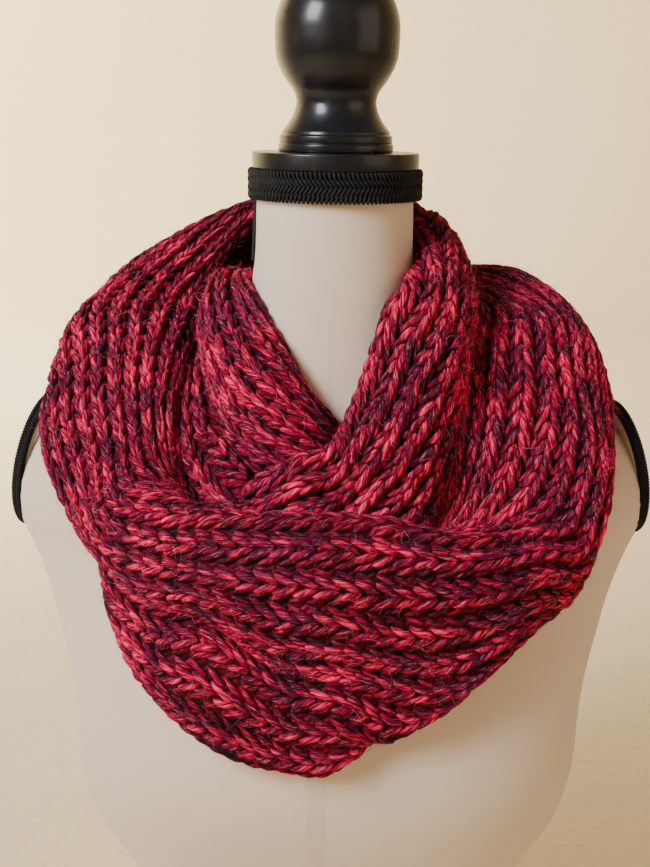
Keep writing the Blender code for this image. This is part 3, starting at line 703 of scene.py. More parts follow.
def column_legs(cloth, settings, rng, places, name):
    """V-shaped stitches in one column; places holds where it runs, in ribs, at every station."""
    kind = LEG_KINDS[name]
    rings = settings.leg_rings - kind.rings_off
    reach = np.linspace(0, 1, rings)[None, :]
    arch = np.sin(np.pi * (ARCH_START + ARCH_TAKEN * reach))
    at = np.arange(cloth.stations, dtype=float)
    length = arc_lengths(cloth.read(cloth.grid, at, places))
    count = max(2, int(round(length[-1] / settings.stitch_pitch)))
    pitch_along = length[-1] / count
    run = settings.leg_length * pitch_along
    tips = (np.arange(count) + FIRST_TIP) * pitch_along
    for side in (-1, 1):
        starts = (tips + rng.normal(0, TIP_SCATTER, count))[:, None]
        distance = starts + run * VALLEY_RUN * (reach - 1) if name == "valley" else starts - run * reach
        station = np.interp(distance, length, at)
        centre = np.interp(station, at, places)
        pitch = cloth.read(cloth.pitch, station, centre)
        middle = rings // 2
        keep = (distance.min(1) > -OVERHANG) & (distance.max(1) < length[-1] + OVERHANG)
        if name != "edge":
            keep &= cloth.shows(station[:, middle], centre[:, middle])
            keep &= pitch[:, middle] > (settings.valley_pitch if name == "valley" else LEAST_LEG_PITCH)
        if not keep.any():
            continue
        station, centre, pitch = station[keep], centre[keep], pitch[keep]
        wander = rng.normal(1, OPENING_SCATTER, (len(station), 1))
        swell = 1.0 if name == "edge" else np.clip(pitch / FULL_YARN_PITCH, *YARN_SWELL)
        radius = settings.yarn_width * swell * kind.radius * np.ones(pitch.shape)
        spread = np.clip(kind.opens * (pitch - kind.margin), kind.least, kind.most)
        opened = TIP_OPENING + (1 - TIP_OPENING) * reach**OPENING_CURVE
        opening = side * spread * opened * wander
        bob = rng.normal(0, HEIGHT_SCATTER, (len(station), 1))
        if name == "edge":
            inward = -1 if np.mean(places) > cloth.places.mean() else 1
            spot = cloth.read(cloth.grid, station, centre)
            facing = unit(spot - cloth.read(cloth.grid, station, centre + inward * EDGE_IN))
            through = unit(cloth.read(cloth.facing, station, centre))
            centres = spot + through * (opening + EDGE_LIFT)[..., None]
            centres = centres + facing * (EDGE_OUT * arch + bob)[..., None]
        else:
            place = centre + opening / np.maximum(pitch, LEAST_OPENING_PITCH)
            dip = np.where(reach > DIP_FROM, LEG_DIP, 0.0)
            height = wall_face(pitch, place) + radius * (LEG_LIFT + LEG_ARCH * arch - dip) + bob
            height = height - radius * kind.sunk
            facing = unit(cloth.read(cloth.facing, station, place))
            centres = cloth.read(cloth.grid, station, place) + facing * height[..., None]
        yield centres, facing, radius * (FOOT_THICK + ARCH_THICK * arch)


def lay_legs(cloth, settings, rng, kind):
    """Stitches in a column along every rib, turned round in every valley or along both edges."""
    if kind == "edge":
        columns = [cloth.first, cloth.last]
    else:
        start = 0.0 if kind == "valley" else 0.5
        ribs = range(int(cloth.first.min()), int(math.ceil(cloth.last.max())) + 1)
        columns = [np.full(cloth.stations, rib + start) for rib in ribs]
    found = []
    for places in columns:
        found.extend(column_legs(cloth, settings, rng, places, kind))
    return Legs(*(np.concatenate(parts) for parts in zip(*found)))


def tube_faces(rings, sides, count=1):
    """Faces of many open tubes, each with the same number of rings and sides."""
    ring = np.arange(rings - 1)[:, None] * sides
    side = np.arange(sides)[None, :]
    after = (side + 1) % sides
    corners = [ring + side, ring + sides + side, ring + sides + after, ring + after]
    one = np.stack(corners, -1).reshape(-1, 4)
    return one, (one[None] + (np.arange(count) * rings * sides)[:, None, None]).reshape(-1, 4)


def ring_faces(rings, sides, capped=True):
    """Faces between rings of points, turned the other way from a tube's and capped at both ends."""
    faces = [tuple(quad) for quad in np.roll(tube_faces(rings, sides)[0][:, ::-1], 1, axis=1)]
    if capped:
        faces += [tuple(range(sides))[::-1], tuple(range((rings - 1) * sides, rings * sides))]
    return faces


def turns(sides):
    """Equal steps of one turn."""
    return np.arange(sides) * FULL_TURN / sides


def tube_points(centres, facing, radius):
    """Rings of points round each centre line; radius has one value for each point of each ring."""
    ahead = unit(np.gradient(centres, axis=1))
    across = unit(np.cross(ahead, facing))
    upward = np.cross(across, ahead)
    around = turns(radius.shape[-1])
    return (
        centres[:, :, None, :]
        + across[:, :, None, :] * (radius * np.cos(around))[..., None]
        + upward[:, :, None, :] * (radius * np.sin(around))[..., None]
    ).reshape(-1, 3)


def yarn_tubes(name, legs, sides, settings, rng, surface):
    """Plied yarn legs: each a tube whose section has one lobe for each twisted ply."""
    count, rings = legs.thick.shape
    around = turns(sides)
    start = rng.uniform(0, FULL_TURN, (count, 1))
    twist = start + settings.ply_turns * FULL_TURN * np.linspace(0, 1, rings)[None, :]
    turned = around[None, None, :] - twist[..., None]
    taper = np.ones(rings)
    taper[[0, -1]] = LEG_TAPER
    radius = legs.thick[..., None] * (1 + PLY_DEPTH * np.cos(PLIES * turned)) * taper[None, :, None]
    one, faces = tube_faces(rings, sides, count)
    points = tube_points(legs.centres, legs.facing, radius)
    piece = add_piece(name, points, faces, surface)
    tone = rng.uniform(0, 1, count)
    write_numbers(piece, "tone", np.repeat(tone, rings * sides))
    # Painted shade: the lift numbers make each leg lighter on its side away from the cloth, darker on
    # its side against the cloth and darker towards its ends; the yarn's finish darkens its colour by
    # them.
    lift = 0.5 + 0.5 * np.sin(around)[None, None, :] * np.ones((count, rings, 1))
    ends = np.sin(np.pi * np.linspace(*END_LIGHT, rings)) ** END_LIGHT_CURVE
    write_numbers(piece, "lift", lift * ends[None, :, None])
    # The map's second coordinate turns with the plies, and the seam's far side gets a whole turn more.
    along = np.linspace(0, 1, rings)[None, :, None] * MAP_LENGTH + tone[:, None, None] * MAP_APART
    along = np.broadcast_to(along, turned.shape).reshape(count, -1)
    across = (turned / FULL_TURN).reshape(count, -1)[:, one]
    across[:, :, 2:] += np.tile(np.arange(sides) == sides - 1, rings - 1)[:, None]
    layer = piece.data.uv_layers.new(name="yarn")
    layer.data.foreach_set("uv", np.stack([along[:, one], across], -1).astype(np.float32).ravel())
    return piece


def stray_fibres(name, legs, count, settings, rng, surface):
    """Loose hairs that stand off the yarn, each a hair-thin curling tube."""
    number, rings = legs.thick.shape
    leg = rng.integers(0, number, count)
    ring = rng.integers(1, rings - 1, count)
    out = legs.facing[leg, ring]
    ahead = unit(legs.centres[leg, ring + 1] - legs.centres[leg, ring - 1])
    lean = out * rng.uniform(*FIBRE_OUT, (count, 1)) + rng.normal(0, FIBRE_SCATTER, (count, 3))
    lean = unit(lean + ahead * rng.choice([-1, 1], (count, 1)) * FIBRE_ALONG)
    bend = rng.normal(0, 1, (count, 3))
    bend = unit(bend - (bend * lean).sum(1, keepdims=True) * lean)
    length = settings.fibre_length * rng.uniform(*FIBRE_LENGTHS, (count, 1))
    steps = np.linspace(0, 1, FIBRE_RINGS)
    curl = rng.uniform(*FIBRE_CURLS, (count, 1))
    base = (legs.centres[leg, ring] + out * (legs.thick[leg, ring] * FIBRE_ROOT)[:, None])[:, None, :]
    out, lean, bend = out[:, None, :], lean[:, None, :], bend[:, None, :]
    line = base + lean * (length * np.sin(steps * FIBRE_BOW) / FIBRE_BOW)[..., None]
    line = line + bend * (length * curl * steps**2)[..., None]
    away = ((line - base) * out).sum(-1, keepdims=True)
    line += out * (np.maximum(FIBRE_LEAST - away, 0) - np.maximum(away - FIBRE_MOST, 0) * FIBRE_PULL)
    width = settings.fibre_width / 2 * np.linspace(1, FIBRE_TIP, FIBRE_RINGS)
    radius = np.broadcast_to(width[None, :, None], (count, FIBRE_RINGS, FIBRE_SIDES))
    points = tube_points(line, np.broadcast_to(bend + 0.01, line.shape), radius)
    faces = tube_faces(FIBRE_RINGS, FIBRE_SIDES, count)[1]
    piece = add_piece(name, points, faces, surface)
    write_numbers(piece, "tone", np.repeat(rng.uniform(0, 1, count), FIBRE_RINGS * FIBRE_SIDES))
    return piece


def knit(strand, settings):
    """Wall, stitches and stray fibres of one strand."""
    tree = form_tree()
    rng = np.random.default_rng(len(strand.rows))
    wall = knit_wall(strand, tree, finish("rib_ground"))
    cloth = Cloth(strand, tree, STITCH_DEGREES, STITCH_COLUMNS)
    laid = [lay_legs(cloth, settings, rng, kind) for kind in ("rib", "edge")]
    legs = Legs(*(np.concatenate(tables) for tables in zip(*laid)))
    sunk = lay_legs(cloth, settings, rng, "valley")
    order = np.argsort(legs.centres[:, 3, 0], kind="stable")
    for part, chosen in enumerate(np.array_split(order, strand.halves)):
        name = f"{strand.name}_stitches_{part + 1}"
        some = Legs(*(table[np.sort(chosen)] for table in legs))
        yarn_tubes(name, some, settings.leg_sides, settings, rng, finish("yarn"))
    name = f"{strand.name}_sunk_stitches"
    yarn_tubes(name, sunk, SUNK_SIDES, settings, rng, finish("sunk_yarn"))
    count = int(len(legs.thick) * settings.fibres_per_leg)
    stray_fibres(f"{strand.name}_fibres", legs, count, settings, rng, finish("hair"))


# ---- finishes ----
def maths(operation, swapped=False):
    """An arithmetic sign that adds a Math node."""

    def sign(self, other=0.0):
        first, second = (other, self) if swapped else (self, other)
        return self.paint.node("ShaderNodeMath", {"operation": operation}, {0: first, 1: second})

    return sign


class Signal:
    """One number in a material. Python's arithmetic signs add the Math nodes that work it out."""

    def __init__(self, paint, socket):
        self.paint = paint
        self.socket = socket

    __add__ = __radd__ = maths("ADD")
    __sub__ = maths("SUBTRACT")
    __rsub__ = maths("SUBTRACT", swapped=True)
    __mul__ = __rmul__ = maths("MULTIPLY")
    __truediv__ = maths("DIVIDE")
    __abs__ = maths("ABSOLUTE")
    __floor__ = maths("FLOOR")
    part = maths("FRACT")
    sine = maths("SINE")

    def zigzag(self):
        """0 at every whole number and 1 half way between."""
        return 1.0 - abs(self.part() * 2.0 - 1.0)


class Paint:
    """A material's node tree and the one method that adds nodes to it."""

    def __init__(self, name):
        self.material = bpy.data.materials.new(name)
        self.material.use_nodes = True
        self.tree = self.material.node_tree
        self.tree.nodes.clear()

    def node(self, kind, settings=(), inputs=(), output=0):
        made = self.tree.nodes.new(kind)
        for name, value in dict(settings).items():
            if name == "stops":
                elements = made.color_ramp.elements
                elements[0].position, elements[0].color = value[0]
                elements[-1].position, elements[-1].color = value[-1]
                for place, colour in value[1:-1]:
                    elements.new(place).color = colour
            else:
                setattr(made, name, value)
        for name, value in dict(inputs).items():
            if isinstance(value, Signal):
                self.tree.links.new(value.socket, made.inputs[name])
            else:
                made.inputs[name].default_value = value
        return Signal(self, made.outputs[output] if len(made.outputs) else None)

    def spot(self):
        """Where a point is on its object."""
        return self.node("ShaderNodeTexCoord", {}, {}, "Object")

    def mapped(self):
        """The two coordinates of a piece's map."""
        coordinates = self.node("ShaderNodeUVMap", {"uv_map": "yarn"})
        return self.split(coordinates, 0), self.split(coordinates, 1)

    def kept(self, name):
        """A number that is kept for each point of a piece."""
        return self.node("ShaderNodeAttribute", {"attribute_name": name}, {}, "Fac")

    def ramp(self, number, stops):
        return self.node("ShaderNodeValToRGB", {"stops": stops}, {0: number})

    def mix(self, share, first, second):
        """Two colours mixed by a share."""
        return self.node("ShaderNodeMix", {"data_type": "RGBA"}, {0: share, 6: first, 7: second}, 2)

    def dimmed(self, colour, share):
        """A colour made darker by a share."""
        return self.node("ShaderNodeVectorMath", {"operation": "SCALE"}, {0: colour, "Scale": share})

    def band(self, number, low, high):
        """0 below low, 1 above high and a smooth rise between."""
        limits = {"Value": number, "From Min": low, "From Max": high}
        return self.node("ShaderNodeMapRange", {"interpolation_type": "SMOOTHSTEP"}, limits)

    def vector(self, x, y, z=0.0):
        return self.node("ShaderNodeCombineXYZ", {}, {0: x, 1: y, 2: z})

    def split(self, vector, axis):
        return self.node("ShaderNodeSeparateXYZ", {}, {0: vector}, axis)

    def noise(self, vector, scale, detail=2.0, rough=0.5):
        inputs = {"Vector": vector, "Scale": scale, "Detail": detail, "Roughness": rough}
        return self.node("ShaderNodeTexNoise", {}, inputs)

    def chance(self, x, y):
        """A random number for each pair of whole numbers."""
        inputs = {"Vector": self.vector(x, y)}
        return self.node("ShaderNodeTexWhiteNoise", {"noise_dimensions": "2D"}, inputs)

    def bump(self, height, distance, strength=1.0):
        inputs = {"Strength": strength, "Distance": distance, "Height": height}
        return self.node("ShaderNodeBump", {}, inputs)

    def done(self, sockets):
        """Join the Principled shader, with these sockets, to the output and give the material back."""
        shader = self.node("ShaderNodeBsdfPrincipled", {}, sockets)
        self.node("ShaderNodeOutputMaterial", {}, {"Surface": shader})
        return self.material


def rgba(colour, share=1.0):
    return tuple(channel * share for channel in colour[:3]) + (1.0,)


# Where the settings' colours lie on the yarn's ramp.
YARN_STOPS = {
    "burgundy": 0.0,
    "plum": 0.30,
    "deep_red": 0.48,
    "crimson": 0.66,
    "scarlet": 0.85,
    "rose": 1.0,
}


def yarn_colours(settings, share=1.0):
    """Stops of the heathered yarn's colours, darkest first."""
    return [(place, rgba(getattr(settings, name), share)) for name, place in YARN_STOPS.items()]


def paint_yarn(name="yarn", share=1.0):
    """Soft plied wool: shades that drift along the yarn, streaks of fibres and pale hairs."""
    settings = bpy.context.scene.scarf_knit
    paint = Paint(name)
    along, turn = paint.mapped()
    spot, tone, lift = paint.spot(), paint.kept("tone"), paint.kept("lift")
    plies = turn * PLIES + 60.0
    groove = plies.zigzag()
    ply_luck = paint.chance(math.floor(plies), math.floor(tone * 997.0))
    drift = paint.noise(spot, 34.0, 3.0, 0.6)
    streak = paint.noise(paint.vector(along * 130.0, turn * 11.0, tone * 60.0), 1.0, 2.0, 0.65)
    number = drift * 1.15 + streak * 1.9 + tone * 0.28 + ply_luck * 0.34 - 1.31
    shade = paint.ramp(number, yarn_colours(settings, share))
    patches = paint.band(paint.noise(spot, 13.0), 0.54, 0.68) * 0.48 * paint.band(streak, 0.38, 0.58)
    tinted = paint.mix(patches, shade, rgba(settings.magenta, share))
    fine = paint.noise(paint.vector(along * 160.0, turn * 27.0, tone * 90.0), 1.0, 2.0, 0.7)
    haired = paint.mix(paint.band(fine, 0.58, 0.68) * 0.55, tinted, rgba(settings.pale_fibre, share))
    dark_hair = (1.0 - paint.band(fine, 0.33, 0.44)) * 0.75
    heathered = paint.mix(dark_hair, haired, rgba(settings.burgundy, share))
    # Painted shade: darker in the grooves between the plies, and on each leg's underside and towards its
    # ends through the kept lift numbers.
    depth = (0.42 + 0.58 * paint.band(groove, 0.0, 0.55)) * (0.36 + 0.64 * paint.band(lift, 0.1, 0.9))
    height = paint.band(groove, 0.0, 0.9) * 0.6 + streak * 0.5 + fine * 0.7
    return paint.done(
        {
            "Base Color": paint.dimmed(heathered, depth),
            "Roughness": 0.78,
            "Sheen Weight": 0.05,
            "Sheen Roughness": 0.4,
            "Sheen Tint": rgba(settings.scarlet),
            "Specular IOR Level": 0.12,
            "Normal": paint.bump(height, 0.0011),
        }
    )


def paint_sunk_yarn():
    """The same wool in the shade of the valleys."""
    return paint_yarn("sunk_yarn", 0.60)


def paint_hair():
    """Single stray hairs, from pale rose to dark."""
    settings = bpy.context.scene.scarf_knit
    paint = Paint("hair")
    stops = (
        (0.0, rgba(settings.burgundy, 1.4)),
        (0.3, rgba(settings.crimson)),
        (0.6, rgba(settings.rose)),
        (1.0, rgba(settings.pale_fibre)),
    )
    colour = paint.ramp(paint.kept("tone"), stops)
    return paint.done({"Base Color": colour, "Roughness": 0.7, "Specular IOR Level": 0.3})


def paint_rib_ground():
    """The knit under and between the stitches: small dark chevrons that sink into the valleys."""
    settings = bpy.context.scene.scarf_knit
    paint = Paint("rib_ground")
    along, ribs = paint.mapped()
    crest = ribs.zigzag()
    rows = along / (settings.stitch_pitch * 0.5) + crest * 1.3
    strand = rows.zigzag()
    luck = paint.chance(math.floor(rows), math.floor(ribs * 2.0))
    spot = paint.spot()
    fine = paint.noise(spot, 900.0, 2.0, 0.6)
    number = luck * 0.4 + paint.noise(spot, 26.0) * 1.1 - 0.28
    # Painted shade: the ground's colours are darkened to 0.80, darker again in the gaps between the
    # chevrons' strands and towards the valleys between ribs.
    shade = paint.ramp(number, yarn_colours(settings, 0.80))
    depth = (0.30 + 0.70 * paint.band(strand, 0.1, 0.8)) * (0.55 + 0.45 * crest) * (0.6 + 0.6 * fine)
    return paint.done(
        {
            "Base Color": paint.dimmed(shade, depth),
            "Roughness": 0.9,
            "Specular IOR Level": 0.2,
            "Normal": paint.bump(strand * 0.8 + fine * 0.3, 0.0016, 0.9),
        }
    )


def paint_jersey():
    """Fine cream jersey: tiny knitted columns, faint slubs and handling marks."""
    settings = bpy.context.scene.dress_form
    paint = Paint("jersey")
    round_it, upward = paint.mapped()
    column = (round_it / settings.jersey_wale).zigzag()
    loop = (upward / (settings.jersey_wale * 0.8) + column * 0.6).zigzag()
    marks = paint.noise(paint.spot(), 9.0, 4.0, 0.6)
    slubs = paint.noise(paint.vector(round_it * 260.0, upward * 900.0), 1.0)
    weave = paint.band(column, 0.0, 0.6) * 0.5 + paint.band(loop, 0.0, 0.7) * 0.5
    handled = paint.band(marks, 0.42, 0.72) * 0.35
    base = paint.mix(handled, rgba(settings.jersey_colour), rgba(settings.jersey_shade))
    return paint.done(
        {
            "Base Color": paint.dimmed(base, 0.90 + 0.07 * weave + 0.06 * slubs),
            "Roughness": 0.88,
            "Sheen Weight": 0.15,
            "Sheen Roughness": 0.5,
            "Specular IOR Level": 0.25,
            "Normal": paint.bump(weave * 0.8 + slubs * 0.5 + marks * 0.6, 0.00018, 0.7),
        }
    )


def paint_braid():
    """Black rayon cord with a twist and a low lustre."""
    black = bpy.context.scene.dress_form.braid_colour
    paint = Paint("braid")
    spot = paint.spot()
    twist = paint.noise(spot, 1500.0, 2.0, 0.6)
    worn = paint.band(paint.noise(spot, 60.0, 3.0), 0.45, 0.8) * 0.5
    return paint.done(
        {
            "Base Color": paint.mix(worn, rgba(black), rgba(black, 2.2)),
            "Roughness": 0.62 + 0.25 * twist,
            "Specular IOR Level": 0.22,
            "Normal": paint.bump(twist, 0.00025, 0.8),
        }
    )


def paint_tape():
    """Black woven tape: a fine diagonal twill."""
    black = bpy.context.scene.dress_form.braid_colour
    paint = Paint("tape")
    spot = paint.spot()
    across, upward = paint.split(spot, 1), paint.split(spot, 2)
    twill = ((across * 1.3 + upward) * 5200.0).sine()
    weft = (upward * 7800.0).sine()
    worn = paint.band(twill, -0.6, 0.9) * 0.6
    return paint.done(
        {
            "Base Color": paint.mix(worn, rgba(black), rgba(black, 2.6)),
            "Roughness": 0.75,
            "Normal": paint.bump(twill * 0.5 + weft * 0.3, 0.00015, 0.8),
        }
    )


def paint_wood():
    """Turned wood under a glossy black stain: lathe lines, faint grain and a crackled coat."""
    stain = bpy.context.scene.dress_form.wood_colour
    paint = Paint("stained_wood")
    spot = paint.spot()
    across, along, upward = (paint.split(spot, axis) for axis in range(3))
    grain = paint.noise(paint.vector(across * 90.0, along * 90.0, upward * 12.0), 1.0, 4.0, 0.6)
    lathe_lines = paint.noise(paint.vector(0.0, 0.0, upward * 1800.0), 1.0, 1.0)
    smears = paint.noise(spot, 35.0, 3.0, 0.6)
    crackle = paint.noise(paint.vector(across * 260.0, along * 260.0, upward * 110.0), 1.0, 3.0, 0.7)
    height = grain * 0.5 + lathe_lines * 0.15 + smears * 0.6 + crackle * 0.4
    return paint.done(
        {
            "Base Color": paint.mix(paint.band(grain, 0.45, 0.75) * 0.5, rgba(stain), rgba(stain, 2.5)),
            "Roughness": 0.27 + 0.12 * paint.band(smears, 0.4, 0.7),
            "Specular IOR Level": 0.26,
            "Coat Weight": 0.10,
            "Coat Roughness": 0.10,
            "Normal": paint.bump(height, 0.0002, 0.2),
        }
    )


def paint_floor():
    """Pale plaster with soft flat dabs."""
    pale = bpy.context.scene.scarf_stage.floor_colour
    paint = Paint("studio_floor")
    spot = paint.spot()
    dabs = paint.band(paint.noise(spot, 64.0, 3.0, 0.6), 0.48, 0.72)
    return paint.done(
        {
            "Base Color": paint.mix(paint.noise(spot, 3.0, 3.0) * 0.25, rgba(pale), rgba(pale, 0.9)),
            "Roughness": 0.9,
            "Specular IOR Level": 0.1,
            "Normal": paint.bump(dabs, 0.0016, 0.5),
        }
    )


PAINTERS = {
    "yarn": paint_yarn,
    "sunk_yarn": paint_sunk_yarn,
    "hair": paint_hair,
    "rib_ground": paint_rib_ground,
    "jersey": paint_jersey,
    "braid": paint_braid,
    "tape": paint_tape,
    "stained_wood": paint_wood,
    "studio_floor": paint_floor,
}


def finish(name):
    """A finish by name, painted the first time it is asked for."""
    return bpy.data.materials.get(name) or PAINTERS[name]()


# ---- the form ----
def arm_plane(depth, height):
    """How far out the flat end of an armhole lies at a depth and a height."""
    lean = (ARM_TOP.x - ARM_BOTTOM.x) / (ARM_TOP.z - ARM_BOTTOM.z)
    return ARM_BOTTOM.x + lean * (height - ARM_BOTTOM.z) - ARM_TURN * (depth - ARM_DEPTH)


def body_rings(sides, levels):
    """Rings of points of the form's body, its arm ends cut flat."""
    rows = np.array(TORSO_SECTIONS, float)
    heights = np.interp(np.linspace(0, len(rows) - 1, levels), np.arange(len(rows)), rows[:, 0])
    sizes = smooth(rows[:, 0], rows[:, 1:], heights)
    across, along = np.sin(turns(sides))[None, :], -np.cos(turns(sides))[None, :]
    half_width, front, back, fullness = (sizes[:, column, None] for column in range(4))
    depth = np.where(along < 0, front, back)
    x = half_width * MM * np.copysign(np.abs(across) ** (2 / fullness), across)
    y = depth * MM * np.copysign(np.abs(along) ** (2 / fullness), along)
    z = np.repeat(heights[:, None] * MM, sides, 1)
    limit = arm_plane(y, z)
    return np.stack([np.clip(x, -limit, limit), y, z], -1)


def make_body():
    """The jersey-covered body and neck on its flat base."""
    sides, levels = BODY_SIDES, BODY_LEVELS
    points = body_rings(sides, levels)
    faces = ring_faces(levels, sides)
    flat = points.reshape(-1, 3)
    body = add_piece("form_body", flat, faces, finish("jersey"), "form_torso")
    girth = np.linalg.norm(np.diff(np.concatenate([points, points[:, :1]], 1), axis=1), axis=2)
    round_it = np.broadcast_to(np.arange(sides) / sides * girth.sum(1).max(), (levels, sides))
    write_map(body, np.stack([round_it, points[..., 2]], -1).reshape(-1, 2))
    for face in (body.data.polygons[-1], body.data.polygons[-2]):
        face.use_smooth = False


def arm_axes(hand):
    """Centre, outward, upward and forward directions of an armhole's flat end."""
    upward = Vector((hand * (ARM_TOP.x - ARM_BOTTOM.x), 0, ARM_TOP.z - ARM_BOTTOM.z)).normalized()
    forward = Vector((hand * ARM_TURN, -1, 0)).normalized()
    outward = upward.cross(forward).normalized()
    if outward.x * hand < 0:
        outward = -outward
    forward = (forward - upward * forward.dot(upward)).normalized()
    middle = (ARM_TOP + ARM_BOTTOM) / 2
    return Vector((hand * middle.x, ARM_DEPTH, middle.z)), outward, upward, forward


def arm_rim(hand, grow, out, sides):
    """Points round an armhole's oval, grown by a margin and moved outwards."""
    centre, outward, upward, forward = arm_axes(hand)
    high, deep = ARM_HALF_HEIGHT + grow, ARM_HALF_DEPTH + grow
    return [
        centre + outward * out + upward * (high * math.sin(turn)) + forward * (deep * math.cos(turn))
        for turn in turns(sides).tolist()
    ]


def make_arm_end(side_name, hand):
    """The padded disc that closes an armhole."""
    top = SEAM_GAP + ARM_PLATE_THICK
    rings = [(COVER_INSET, SEAM_GAP), (COVER_INSET, top - COVER_EDGE)]
    for inset in DOME_INSETS:
        rise = 1 - (1 - min(1.0, inset / DOME_REACH)) ** 2
        rings.append((inset, top + rise * ARM_DOME - COVER_INSET))
    rims = [arm_rim(hand, -TRIM_THICK - inset, out, ARM_SIDES) for inset, out in rings]
    points = np.array([tuple(point) for rim in rims for point in rim])
    faces = ring_faces(len(rings), ARM_SIDES)
    if hand > 0:
        faces = [face[::-1] for face in faces]
    name = f"arm_cover_{side_name}"
    piece = add_piece(name, points, faces, finish("jersey"), f"arm_plate_{side_name}")
    write_map(piece, points[:, 1:])


def braid_cords(name, path, width, gimp):
    """Gimp braid: short cords laid side by side in slanting rows round a closed path.

    path holds a point, its outward direction and the direction across the braid for each step round it.
    """
    tables = [np.array([tuple(step[part]) for step in path]) for part in range(3)]
    wrapped = [np.concatenate([table, table[:1]]) for table in tables]
    lengths = arc_lengths(wrapped[0])
    total = lengths[-1]
    count = int(round(total / gimp.spacing))
    base = np.arange(count)[:, None] * total / count
    reach = np.linspace(0, 1, CORD_RINGS)
    hump = gimp.cord * CORD_BASE + gimp.cord * CORD_HUMP * np.sin(np.pi * reach) ** CORD_CURVE
    laid = []
    for start, end, slant in gimp.rows:
        distance = base + slant * gimp.spacing * reach[None, :]
        place = np.interp(distance % total, lengths, np.arange(len(lengths)))
        low = np.minimum(place.astype(int), len(path) - 1)
        share = (place - low)[..., None]
        spot, out, over = (table[low] * (1 - share) + table[low + 1] * share for table in wrapped)
        level = (start + (end - start) * reach)[None, :, None] * width
        laid.append((spot + over * level + out * hump[None, :, None], out))
    centres, facing = (np.concatenate(parts) for parts in zip(*laid))
    points = tube_points(centres, facing, np.full(centres.shape[:2] + (CORD_SIDES,), gimp.cord))
    faces = tube_faces(CORD_RINGS, CORD_SIDES, len(centres))[1]
    add_piece(name, points, faces, finish("braid"))


def polar(angle, radius, height):
    """A point round the neck's axis; the angle is in degrees from the front."""
    turn = math.radians(angle)
    return Vector((radius * math.sin(turn), -radius * math.cos(turn), height))


def turned_points(profile, sides):
    """Rings of points turned round the axis from a profile of radius and height."""
    radius, height = np.array(profile, float).T[:, :, None]
    around = turns(sides)
    points = [radius * np.sin(around), radius * -np.cos(around), np.repeat(height, sides, 1)]
    return np.stack(points, -1).reshape(-1, 3)


def lathe(name, profile, node):
    """A turned piece of wood from a profile of radius and height."""
    faces = ring_faces(len(profile), LATHE_SIDES)
    points = turned_points(profile, LATHE_SIDES)
    add_piece(name, points, faces, finish("stained_wood"), node)


def rounded(profile, size, steps=3):
    """A profile with its corners softened."""
    profile = [Vector(point) for point in profile]
    smoothed = [profile[0]]
    for before, corner, after in zip(profile, profile[1:], profile[2:]):
        first, second = before - corner, after - corner
        cut = min(size, first.length * CORNER_SHARE, second.length * CORNER_SHARE)
        start = corner + first.normalized() * cut
        end = corner + second.normalized() * cut
        for step in range(steps + 1):
            share = step / steps
            middle = corner * 2 * share * (1 - share)
            smoothed.append(start * (1 - share) ** 2 + middle + end * share**2)
    smoothed.append(profile[-1])
    return [(point.x, point.y) for point in smoothed]


def make_knob():
    """The neck's wooden cap: a flat disc and a turned knob, as finely lathed as the light shows."""
    bottom = NECK_TOP + SEAM_GAP
    top = bottom + DISC_THICK
    disc = ((LATHE_END, bottom), (DISC_RADIUS, bottom), (DISC_RADIUS, top), (LATHE_END, top))
    lathe("cap_disc", rounded(disc, DISC_EDGE), "neck_disc")
    foot = top + SEAM_GAP
    profile = rounded([(radius, foot + rise) for radius, rise in FOOT], FOOT_EDGE, steps=2)
    lowest = (BULB_FOOT[0], FINIAL_BALL_HEIGHT - foot - BULB_FOOT[1])
    bulb = np.array(((FINIAL_BALL, 0.0),) + BULB[::-1] + (lowest,))
    below = np.linspace(bulb[-1, 1], 0, WAIST_STEPS)
    radii = smooth(bulb[:, 1], bulb[:, 0], below)
    profile += [(radius, FINIAL_BALL_HEIGHT - drop) for radius, drop in zip(radii, below)]
    for step in range(1, BALL_STEPS + 1):
        lift = math.radians(BALL_DEGREES * step / BALL_STEPS)
        radius, rise = FINIAL_BALL * math.cos(lift), FINIAL_BALL * math.sin(lift)
        profile.append((radius, FINIAL_BALL_HEIGHT + rise))
    lathe("knob", profile, "finial")


def cover_solid(node, finish_name):
    """Give a solid of the part its finish."""
    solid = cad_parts[node]
    solid.data.materials.clear()
    solid.data.materials.append(finish(finish_name))


def make_neck_trim():
    """Gimp braid round the neck's top and the tape that runs down its side."""
    cover_solid("neck_braid", "braid")
    cover_solid("neck_tape", "tape")
    radius = NECK_RADIUS + SEAM_GAP + BRAID_THICK - NECK_CORD_SUNK
    up = Vector((0, 0, 1))
    angles = [360 / NECK_STEPS * step for step in range(NECK_STEPS)]
    path = [(polar(angle, radius, BRAID_LOW), polar(angle, 1, 0), up) for angle in angles]
    braid_cords("neck_braid_cords", path, BRAID_HIGH - BRAID_LOW, NECK_GIMP)


def make_arm_trim(side_name, hand):
    """Gimp braid round an arm end."""
    cover_solid(f"arm_trim_{side_name}", "braid")
    outward = arm_axes(hand)[1]
    inner, outer = (arm_rim(hand, grow, ARM_CORD_START, ARM_STEPS) for grow in (-RIM_STEP, RIM_STEP))
    path = [(a, (b - a).normalized(), outward) for a, b in zip(inner, outer)]
    braid_cords(f"arm_trim_cords_{side_name}", path, ARM_PLATE_THICK - ARM_CORD_END, ARM_GIMP)


# ---- the stage ----
def area_light(name, place, target, size, power, colour):
    """A soft rectangular light that looks at a point."""
    light = bpy.data.lights.new(name, "AREA")
    light.shape = "RECTANGLE"
    light.size, light.size_y = size
    light.energy = power
    light.color = colour
    lamp = bpy.data.objects.new(name, light)
    lamp.location = place
    lamp.visible_camera = False
    lamp.rotation_mode = "QUATERNION"
    lamp.rotation_quaternion = (Vector(target) - Vector(place)).to_track_quat("-Z", "Y")
    bpy.context.scene.collection.objects.link(lamp)


